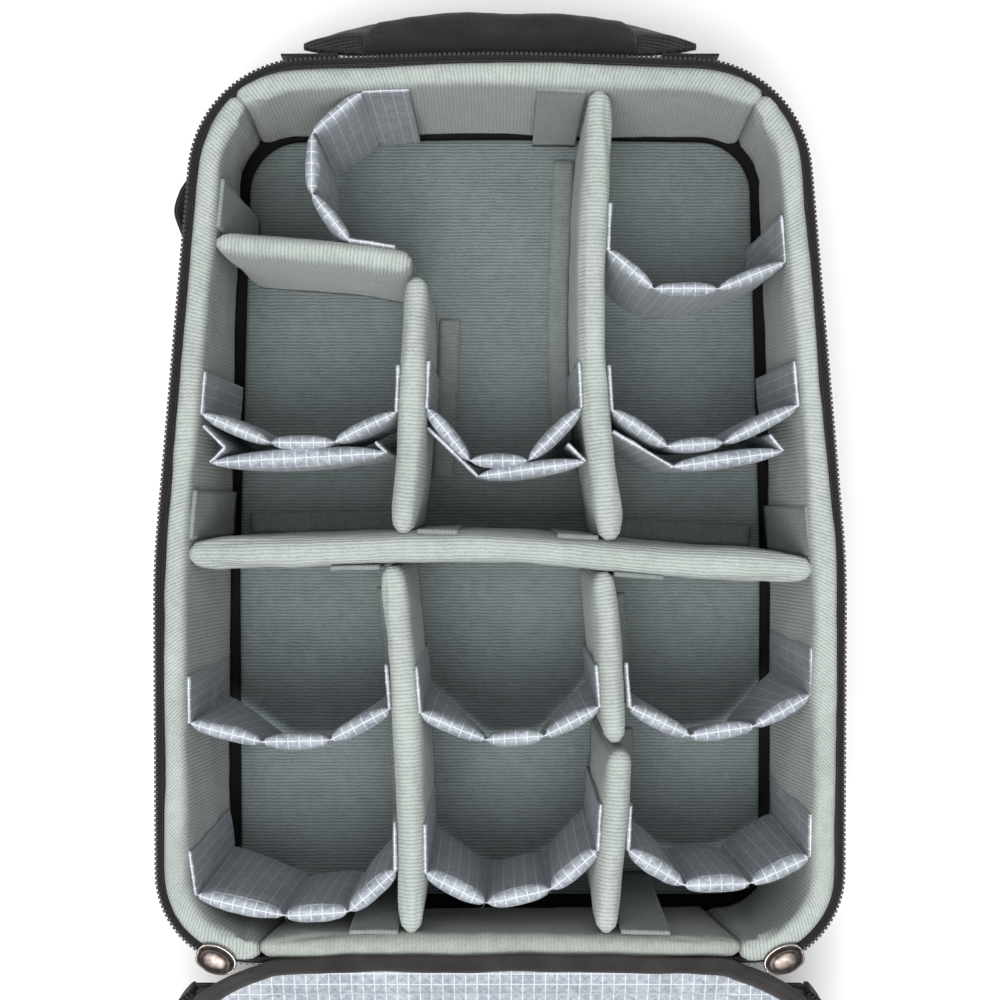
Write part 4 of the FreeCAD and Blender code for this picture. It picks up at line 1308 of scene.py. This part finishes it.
def outer_skin():
    """Outer fabric round the four sides, slack between the base and the zip."""
    offsets, heights = pad_section(skin_thickness / 2, skin_low, skin_high, 0.7 * mm, 26, 4)
    rows, layers = ring_rows(offsets, heights, skin_thickness / 2, 420)
    rise = (rows[:, :, 2] - skin_low) / (skin_high - skin_low)
    slack = np.sin(np.clip(rise, 0, 1) * math.pi)
    outward = -left_normals(rows[:, 0, :2], closed=True)
    sag = slack * (0.6 * mm + field(rows, 75 * mm, 201) * 1.6 * mm + field(rows, 22 * mm, 202) * 0.7 * mm)
    rows[:, :, :2] += outward[:, None, :] * sag[..., None]
    piece = grid_object("outer_skin", rows, layers, ring=True)
    dress(piece, "bag", "shell_fabric", black_cloth, ["shell_skin"])


def base_piping():
    """Covered cord in the seam between the skin and the back panel."""
    offsets, heights = round_section(2.2 * mm, skin_low + 1.0 * mm)
    rows, layers = ring_rows(offsets, heights, -0.8 * mm, 420)
    dress(grid_object("base_piping", rows, layers, ring=True), "bag", "shell_fabric", strap_cloth)


def rim_binding():
    """Narrow stitched-down strip where the zip tape meets the skin."""
    offsets, heights = pad_section(0.6 * mm, skin_high - 9 * mm, skin_high - 1.0 * mm, 0.5 * mm, 6, 4)
    rows, layers = ring_rows(offsets, heights, -0.4 * mm, 420)
    rows = crumple(rows, 0.25 * mm, 9 * mm, 210, ring=True)
    piece = grid_object("rim_binding", rows, layers, ring=True)
    dress(piece, "bag", "shell_fabric", zip_cloth)
    line = rows[:, 8, :]
    outward = -left_normals(line[:, :2], closed=True)
    seam = line + np.column_stack([outward * 0.7 * mm, np.zeros(len(line))])
    stitching("rim_stitches", [(seam, np.column_stack([outward, np.zeros(len(line))]))], piece, dark_thread)


def teeth_points(line):
    """Points and faces of zip teeth along a level line; each has a neck and a wider head outwards."""
    count = int(distances(line)[-1] / tooth_pitch)
    centres = resample(line, count)
    inward = left_normals(centres[:, :2])
    along = np.stack([inward[:, 1], -inward[:, 0]], axis=1)
    points = []
    faces = []
    corner_signs = ((0, -1), (1, -1), (1, 1), (0, 1))
    for centre, inside, forward in zip(centres, inward, along):
        for near, far, half_width, half_height in tooth_blocks:
            base = len(points)
            for level in (-1, 1):
                for end, side in corner_signs:
                    reach = -(far if end else near) * mm
                    width = side * half_width * mm * (1.0 if level < 0 else 0.8)
                    plan = centre[:2] + inside * reach + forward * width
                    points.append((plan[0], plan[1], centre[2] + level * half_height * mm))
            for corner in range(4):
                beside = (corner + 1) % 4
                faces.append((base + corner, base + beside, base + 4 + beside, base + 4 + corner))
            faces.append((base + 3, base + 2, base + 1, base))
            faces.append((base + 4, base + 5, base + 6, base + 7))
    return np.array(points), faces


def body_zip():
    """Zip tape on the bag's rim with its row of teeth."""
    cuts = zip_cuts(zip_end_angle)
    low, high = levels("body_zip_tape")
    offsets, heights = pad_section((tape_inner - tape_outer) / 2, low, high, 0.8 * mm, 3, 6)
    rows, layers = ring_rows(offsets, heights, (tape_inner + tape_outer) / 2, 400, cuts)
    piece = grid_object("body_zip_cloth", rows, layers)
    dress(piece, "bag", "zip_tape", zip_cloth, ["body_zip_tape"])
    tooth_height = sum(levels("body_zip_teeth")) / 2
    plan = wall_run(tooth_middle, tooth_height, *cuts, 1500)
    line = np.column_stack([plan, np.full(len(plan), tooth_height)])
    teeth = mesh_object("body_zip_row", *teeth_points(line), smooth=False)
    dress(teeth, "bag", "zip_teeth", tooth_plastic, ["body_zip_teeth"])


outer_skin()
base_piping()
rim_binding()
body_zip()


# ---------------------------------------------------------------- front panel (lid)

def turned(points, degrees, pivot_y, pivot_z):
    """Points turned about a line along X."""
    turn = math.radians(degrees)
    result = np.array(points, float)
    away_y = result[..., 1] - pivot_y
    away_z = result[..., 2] - pivot_z
    result[..., 1] = pivot_y + away_y * math.cos(turn) - away_z * math.sin(turn)
    result[..., 2] = pivot_z + away_y * math.sin(turn) + away_z * math.cos(turn)
    return result


def tilted(points):
    """Points drawn level at the hinge, tilted into the open lid's place."""
    return turned(points, lid_slope, hinge_y, hinge_z)


def level_parts(node):
    """Points of one of the lid's CAD nodes, turned back to level."""
    return turned(np.vstack(node_parts(node)), -lid_slope, hinge_y, hinge_z)


def open_lid(rows):
    """Rows drawn level over the rim, mirrored over the hinge and tilted into the open lid's place."""
    mirrored = np.array(rows, float)
    mirrored[..., 1] = 2 * hinge_y - mirrored[..., 1]
    return tilted(mirrored)


def lid_side_start(line):
    return line[:, 1] - hinge_y - lid_panel_start


def lid_side_end(line):
    return -lid_side_start(line)


def lid_ring(name, offsets, depths, middle, cuts, wobble=0.0, seed=0):
    """Band round the lid's edge: a section of insets and depths carried between two cuts."""
    rows = carried(middle + offsets, hinge_z - depths, 420, cuts, level=hinge_z)
    if wobble:
        rows = crumple(rows, wobble, 16 * mm, seed)
    layers = section_layers(rows, distances(rows[:, 0, :2]), around_ridge(offsets, depths), True)
    return grid_object(name, open_lid(rows), layers)


def lid_sheet(name, node, slot, finish, seed, roundness, puff, columns=420):
    """Layer of the lid from its CAD node's outline, rounded at its edge and a little puffed."""
    flat = level_parts(node)
    low, high = flat[:, 2].min(), flat[:, 2].max()
    plan = np.unique(np.round(flat[:, :2], 5), axis=0)
    centre = (plan.min(axis=0) + plan.max(axis=0)) / 2
    away = plan - centre
    loop = resample(plan[np.argsort(np.arctan2(away[:, 1], away[:, 0]))], columns, closed=True)
    reach = (plan[:, 0].max() - plan[:, 0].min()) / 2
    edge_shares, edge_heights = edge_rings(low, high, roundness, reach, 7)
    inner = np.linspace(0.97, 0.02, 34)
    shares = [0.02, 0.3, 0.6, 0.85, 1 - roundness / reach] + edge_shares + list(inner)
    heights = [low] * 5 + edge_heights + list(high + puff * (1 - inner**8))
    rings = disc_rows(loop, shares, heights)
    top = rings[:, :, 2] > high - 0.2 * mm
    swell = field(rings, 70 * mm, seed) * 1.0 * mm + field(rings, 16 * mm, seed + 1) * 0.35 * mm
    rings[:, :, 2] += np.where(top, swell, 0)
    piece = disc_object(name, tilted(rings), disc_layers(rings))
    dress(piece, "lid", slot, finish, [node])


def lid():
    """The open front panel: lining, foam, edge band, bound seam and its half of the zip."""
    lid_sheet("lid_lining_soft", "lid_lining", "grid_fabric", ripstop, 301, 0.6 * mm, 2.2 * mm)
    lid_sheet("lid_foam_soft", "lid_foam", "foam", foam_cells, 305, 1.0 * mm, 0.0, columns=200)
    sides = (lid_side_start, lid_side_end)
    chain_cuts = zip_cuts(lid_zip_angle)
    offsets, depths = pad_section(0.8 * mm, -15.9 * mm, -2.2 * mm, 0.5 * mm, 10, 4)
    band = lid_ring("lid_edge_cloth", offsets, -depths, 0.6 * mm, sides, 0.6 * mm, 311)
    dress(band, "lid", "shell_fabric", charcoal_cloth, ["lid_edge_band"])
    offsets, depths = pad_section(1.9 * mm, -2.4 * mm, 0.9 * mm, 1.8 * mm, 3, 8)
    binding = lid_ring("lid_binding_cloth", offsets, -depths, 2.8 * mm, sides, 0.6 * mm, 313)
    dress(binding, "lid", "binding", charcoal_cloth, ["lid_binding"])
    offsets, depths = pad_section(1.1 * mm, -1.9 * mm, -0.4 * mm, 0.6 * mm, 3, 6)
    tape = lid_ring("lid_zip_cloth", offsets, -depths, 0.2 * mm, chain_cuts)
    dress(tape, "lid", "zip_tape", zip_cloth, ["lid_zip_tape"])
    plan = wall_run(tooth_middle, hinge_z, *chain_cuts, 1500)
    points, faces = teeth_points(np.column_stack([plan, np.full(len(plan), hinge_z - 1.1 * mm)]))
    teeth = mesh_object("lid_zip_row", open_lid(points), faces, smooth=False)
    dress(teeth, "lid", "zip_teeth", tooth_plastic, ["lid_zip_teeth"])
    refinish("lid_board", board_plastic)


def lid_outer_cloth():
    """Outer cloth of the lid, slightly domed away from the foam."""
    flat = level_parts("lid_cover")
    low, high = flat[:, 2].min(), flat[:, 2].max()
    loop = resample(hull(flat[:, :2]), 420, closed=True)
    reach = (flat[:, 0].max() - flat[:, 0].min()) / 2
    shares = [0.3, 0.7, 0.995, 1.0, 0.998, 0.99]
    heights = [high, high, high, (low + high) / 2, low + 0.4 * mm, low]
    inner = np.linspace(0.97, 0.02, 30)
    shares += list(inner)
    heights += list(low - 1.5 * mm * (1 - inner**6))
    rings = disc_rows(loop, shares, heights)
    under = rings[:, :, 2] < low + 0.1 * mm
    rings[:, :, 2] -= np.where(under, 0.6 * mm + field(rings, 60 * mm, 321) * 0.9 * mm, 0)
    piece = disc_object("lid_outer_cloth", tilted(rings))
    dress(piece, "lid", "shell_fabric", black_cloth, ["lid_cover"])


def hinge_middle(count):
    """Plan line down the middle of the fold's binding, which swings out to the lid's corners."""
    line = np.array(hinge_line + [(-x, y) for x, y in hinge_line[-2::-1]]) * mm
    return resample(curve_through(line, 2 * mm), count) + np.array([0, hinge_y])


def lid_height(y):
    """Height of the lid's inner face over a plan place, level on the bag's side of the hinge."""
    return hinge_z - np.clip(hinge_y - y, 0, None) * math.tan(math.radians(lid_slope))


def hinge_cloth():
    """Binding over the fold line: a wavy strip of cloth, rolled at both edges."""
    line = hinge_middle(190)
    normals = left_normals(line)
    width = band_width * (1 + 0.16 * field(line, 24 * mm, 331))
    line = line + normals * (field(line, 34 * mm, 333) * 1.1 * mm)[:, None]
    across, lift = np.array(band_top + [(share, band_underside) for share in (0.4, 0.2, 0, -0.2, -0.4)]).T
    plan = line[:, None, :] + normals[:, None, :] * (width[:, None] * across[None, :])[..., None]
    height = lid_height(plan[..., 1]) + lift[None, :] * mm
    rows = np.concatenate([plan, height[..., None]], axis=2)
    rows[:, :, 2] += field(rows, 15 * mm, 332) * 0.8 * mm + 0.3 * mm
    piece = grid_object("hinge_cloth", rows, section_layers(rows, distances(line), across * band_width, True))
    piece.data.materials.append(charcoal_cloth)
    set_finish(piece, "binding")
    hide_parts("hinge_piping", "lid_flange")
    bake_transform(piece)


def hinge_lining():
    """Lining that runs on from the lid's inner face up to the binding."""
    edge = hinge_middle(150)
    edge = edge[np.abs(edge[:, 0]) < strip_half]
    share = np.linspace(0, 1, 9)
    end = np.minimum(edge[:, 1] - 2 * mm, hinge_y) - strip_reach
    start = edge[:, 1] - strip_tuck
    plan_y = start[:, None] + (end - start)[:, None] * share[None, :]
    plan_y = np.concatenate([plan_y, plan_y[:, ::-1]], axis=1)
    plan_x = np.broadcast_to(edge[:, 0][:, None], plan_y.shape)
    layer = np.array([0.4] * 9 + [-0.6] * 9) * mm
    height = lid_height(plan_y) + layer[None, :] + 0.4 * mm
    rows = np.stack([plan_x, plan_y, height], axis=2)
    puff = np.sin(np.concatenate([share, share[::-1]]) * math.pi) * 0.8 * mm
    rows[:, :, 2] += puff[None, :] + field(rows, 14 * mm, 341) * 0.5 * mm
    piece = grid_object("hinge_lining", rows, {"rib": plan_y, "run": plan_x})
    dress(piece, "lid", "grid_fabric", ripstop)


def hinge_gusset():
    """Outer cloth on the panel's hinge side, from the fold to the panel's outer face."""
    profile = curve_through(np.array(gusset_profile) * mm, 1.5 * mm)
    normal = left_normals(profile)
    outline = np.vstack([profile + normal * 0.6 * mm, (profile - normal * 0.6 * mm)[::-1]])
    share = np.clip(outline[:, 0] / profile[-1, 0], 0, 1)
    half = gusset_half + gusset_growth * np.sqrt(1 - (1 - share) ** 2)
    across = np.linspace(-1, 1, 120)
    rows = np.zeros((len(across), len(outline), 3))
    rows[:, :, 0] = across[:, None] * half[None, :]
    rows[:, :, 1] = hinge_y - outline[None, :, 0]
    rows[:, :, 2] = hinge_z - outline[None, :, 1]
    rows[:, :, 2] += field(rows, 26 * mm, 351) * 0.7 * mm * share[None, :]
    piece = grid_object("hinge_gusset", tilted(rows))
    dress(piece, "lid", "shell_fabric", black_cloth)


lid()
lid_outer_cloth()
hinge_cloth()
hinge_lining()
hinge_gusset()


# ---------------------------------------------------------------- zip sliders

def slider_outline():
    """Teardrop loop: pointed end at the left, round end at the right."""
    count = 48
    share = np.linspace(0, 1, count // 2, endpoint=False) + 1.0 / count
    reach = slider_length * (1 - np.cos(share * math.pi)) / 2 - slider_tail
    half = slider_half * np.sin(math.pi * share**0.85) ** 0.8 * (0.42 + 0.58 * share**0.7)
    upper = np.stack([reach, half], axis=1)
    return np.vstack([upper, upper[::-1] * np.array([1, -1])])


def slider_dome(side):
    """Domed upper plate of a slider with its polished rim."""
    turn = math.radians(90 - slider_angle)
    spin = np.array([[math.cos(turn), math.sin(turn)], [-math.sin(turn), math.cos(turn)]])
    angle = math.radians(slider_angle)
    centre = np.array(zip_corner) + slider_radius * np.array([math.cos(angle), -math.sin(angle)])
    name = "right" if side > 0 else "left"
    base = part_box("zip_slider_" + name)[1].z - slider_drop
    placed = slider_outline() @ spin + centre
    rings = disc_rows(placed, *zip(*((share, base + rise * mm) for share, rise in dome_profile)))
    rings[:, :, 0] *= side
    dome = disc_object("slider_dome_" + name, rings)
    dress(dome, "slider_" + name, "slider_metal", gunmetal)
    outward = left_normals(placed, closed=True)
    rim = []
    for around in np.linspace(0, 2 * math.pi, 8, endpoint=False):
        plan = placed + outward * slider_rim * math.cos(around)
        level = base + 0.2 * mm + slider_rim * math.sin(around)
        rim.append(np.column_stack([plan, np.full(len(plan), level)]))
    rows = np.array(rim).transpose(1, 0, 2)
    rows[:, :, 0] *= side
    dress(grid_object("slider_rim_" + name, rows, ring=True), "slider_" + name, "slider_metal", bright_metal)
    for node, finish in (("zip_slider_" + name, gunmetal), ("zip_pull_" + name, bright_metal)):
        refinish(node, finish)


slider_dome(1)
slider_dome(-1)


# ---------------------------------------------------------------- handle and side loop

def handle_place(rows):
    """Rows drawn flat (x across, y outwards, z through) turned into the handle's rest place."""
    return turned(rows + np.array([0, handle_y, handle_z]), -handle_tilt, handle_y, handle_z)


def grip():
    """Padded grip, bowed outwards in the middle, its ends rounded off and thinner."""
    share = np.linspace(-1, 1, 96)
    turns = np.linspace(0, 2 * math.pi, 40, endpoint=False) + math.pi / 40
    away = np.abs(share)
    outer = grip_reach - grip_crown * away**2.2 - 9 * mm * np.clip(away * 9 - 8, 0, 1) ** 2
    middle = (outer + grip_inner) / 2
    half = (outer - grip_inner) / 2
    cosine = np.sign(np.cos(turns)) * np.abs(np.cos(turns)) ** 0.6
    sine = np.sign(np.sin(turns)) * np.abs(np.sin(turns)) ** 0.75
    thick = grip_thick * (1 - 0.55 * away**5)
    rows = np.zeros((len(share), len(turns), 3))
    rows[:, :, 0] = (share * grip_half)[:, None]
    rows[:, :, 1] = middle[:, None] + half[:, None] * cosine[None, :]
    rows[:, :, 2] = thick[:, None] * sine[None, :]
    piece = grid_object("handle_grip_soft", handle_place(waved(rows, grip_waves, 401)))
    dress(piece, "handle", "webbing", grip_cloth, ["handle_grip"])


def strap_end(side):
    """Flat webbing from under one end of the grip, narrowing and folding down to the bag."""
    count = 26
    share = np.linspace(0, 1, count)
    across = np.linspace(0.5, -0.5, 8)
    width = 2 * mm + 22 * mm * (1 - share**1.8)
    inner = grip_inner + (2 * mm - grip_inner) * share
    middle = inner + width / 2
    layers = []
    for level in (1.3 * mm, -1.3 * mm):
        row = np.zeros((count, 8, 3))
        row[:, :, 0] = side * (grip_half - 10 * mm + share * (strap_tip - grip_half + 8 * mm))[:, None]
        row[:, :, 1] = middle[:, None] + width[:, None] * across[None, :]
        row[:, :, 2] = level + 2.2 * mm * (np.sin(share * math.pi)[:, None] * np.cos(across * 5)[None, :])
        layers.append(row)
    strap = np.concatenate([layers[0], layers[1][:, ::-1]], axis=1)
    strap = crumple(strap, 0.5 * mm, 12 * mm, 405 + side)
    around = np.concatenate([across, across[::-1]])
    return grid_object("strap_end", handle_place(strap), {
        "rib": width[:, None] * around[None, :],
        "run": np.broadcast_to((share * (strap_tip - grip_half))[:, None], strap.shape[:2]),
    })


def handle():
    """Grip with its two webbing ends."""
    grip()
    ends = [strap_end(-1), strap_end(1)]
    dress(joined("handle_straps", ends), "handle", "webbing", strap_cloth, ["handle_webbing"])


def handle_patches():
    """Webbing patches sewn to the top wall, with boxed and crossed stitching."""
    pieces = []
    lines = []
    for part in node_parts("handle_anchors"):
        low, high = part.min(axis=0), part.max(axis=0)
        offsets, heights = pad_section((high[1] - low[1]) / 2, low[2], high[2], 0.6 * mm, 10, 4)
        line = np.array([[x, (low[1] + high[1]) / 2] for x in np.linspace(low[0], high[0], 16)])
        rows = crumple(swept(line, offsets, heights), 0.3 * mm, 8 * mm, 411)
        layers = section_layers(rows, line[:, 0] - low[0], around_ridge(offsets, heights))
        pieces.append(grid_object("patch", rows, layers))
        left, bottom = low[0] + patch_margin, low[2] + patch_margin
        right, top = high[0] - patch_margin, high[2] - patch_margin
        face = high[1] + 0.2 * mm
        corners = [(left, face, bottom), (right, face, bottom), (right, face, top), (left, face, top)]
        for start, end in ((0, 1), (1, 2), (2, 3), (3, 0), (0, 2), (1, 3)):
            seam = resample([corners[start], corners[end]], 12)
            lines.append((seam, np.tile([0.0, 1.0, 0.0], (12, 1))))
    piece = joined("handle_patches", pieces)
    dress(piece, "bag", "webbing", strap_cloth, ["handle_anchors"])
    stitching("handle_patch_stitches", lines, piece, dark_thread)


def side_loop():
    """Webbing loop that bows out from the left wall between two sewn feet."""
    low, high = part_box("side_loop")
    thick = 2.2 * mm
    root = high.x - thick / 2
    apex = low.x + thick / 2
    middle = (low.y + high.y) / 2
    path = curve_through(np.array([
        [root, low.y], [root - 1 * mm, low.y + 5 * mm], [apex + 2.5 * mm, middle - 9 * mm], [apex, middle],
        [apex + 2.5 * mm, middle + 9 * mm], [root, high.y - 5 * mm], [root + 1.5 * mm, high.y],
    ]), 1.5 * mm)
    offsets, heights = pad_section(thick / 2, low.z, high.z, 0.8 * mm, 10, 4)
    rows = crumple(swept(path, offsets, heights), 0.3 * mm, 10 * mm, 421)
    layers = section_layers(rows, distances(path), around_ridge(offsets, heights), True)
    piece = grid_object("side_loop_strap", rows, layers)
    dress(piece, "bag", "webbing", strap_cloth, ["side_loop"])


handle()
handle_patches()
side_loop()


# ---------------------------------------------------------------- floor, light and camera

def pale_floor():
    """Plain pale floor under the bag."""
    finish = Finish("studio_floor", 0.9, specular=0.1)
    finish.colour(finish.blend(finish.noise(0.4), srgb(250, 250, 250), srgb(246, 246, 246)))
    reach = 6.0
    points = [(-reach, -reach, 0), (reach, -reach, 0), (reach, reach, 0), (-reach, reach, 0)]
    floor = mesh_object("studio_floor", points, [(0, 1, 2, 3)], smooth=False)
    floor.data.materials.append(finish.material)


def soft_light(name, place, size, power):
    """Square soft light that looks at the bag."""
    lamp = bpy.data.lights.new(name, "AREA")
    lamp.size = size
    lamp.energy = power
    light = bpy.data.objects.new(name, lamp)
    light.location = place
    light.rotation_euler = (-Vector(place)).to_track_quat("-Z", "Y").to_euler()
    bpy.context.scene.collection.objects.link(light)


def studio():
    """Bright even surroundings with two large soft lights."""
    world = bpy.data.worlds.new("studio")
    world.use_nodes = True
    background = world.node_tree.nodes["Background"]
    background.inputs["Color"].default_value = srgb(250, 252, 255)
    background.inputs["Strength"].default_value = world_strength
    bpy.context.scene.world = world
    bpy.context.scene.view_settings.view_transform = "Standard"
    for name, place, size, power in lights:
        soft_light(name, place, size, power)


def camera():
    """Camera that looks straight down into the compartment."""
    data = bpy.data.cameras.new("camera")
    data.sensor_width = camera_sensor
    data.lens = camera_lens
    view = bpy.data.objects.new("camera", data)
    view.location = (0, camera_y, camera_height)
    bpy.context.scene.collection.objects.link(view)
    bpy.context.scene.camera = view


pale_floor()
studio()
camera()
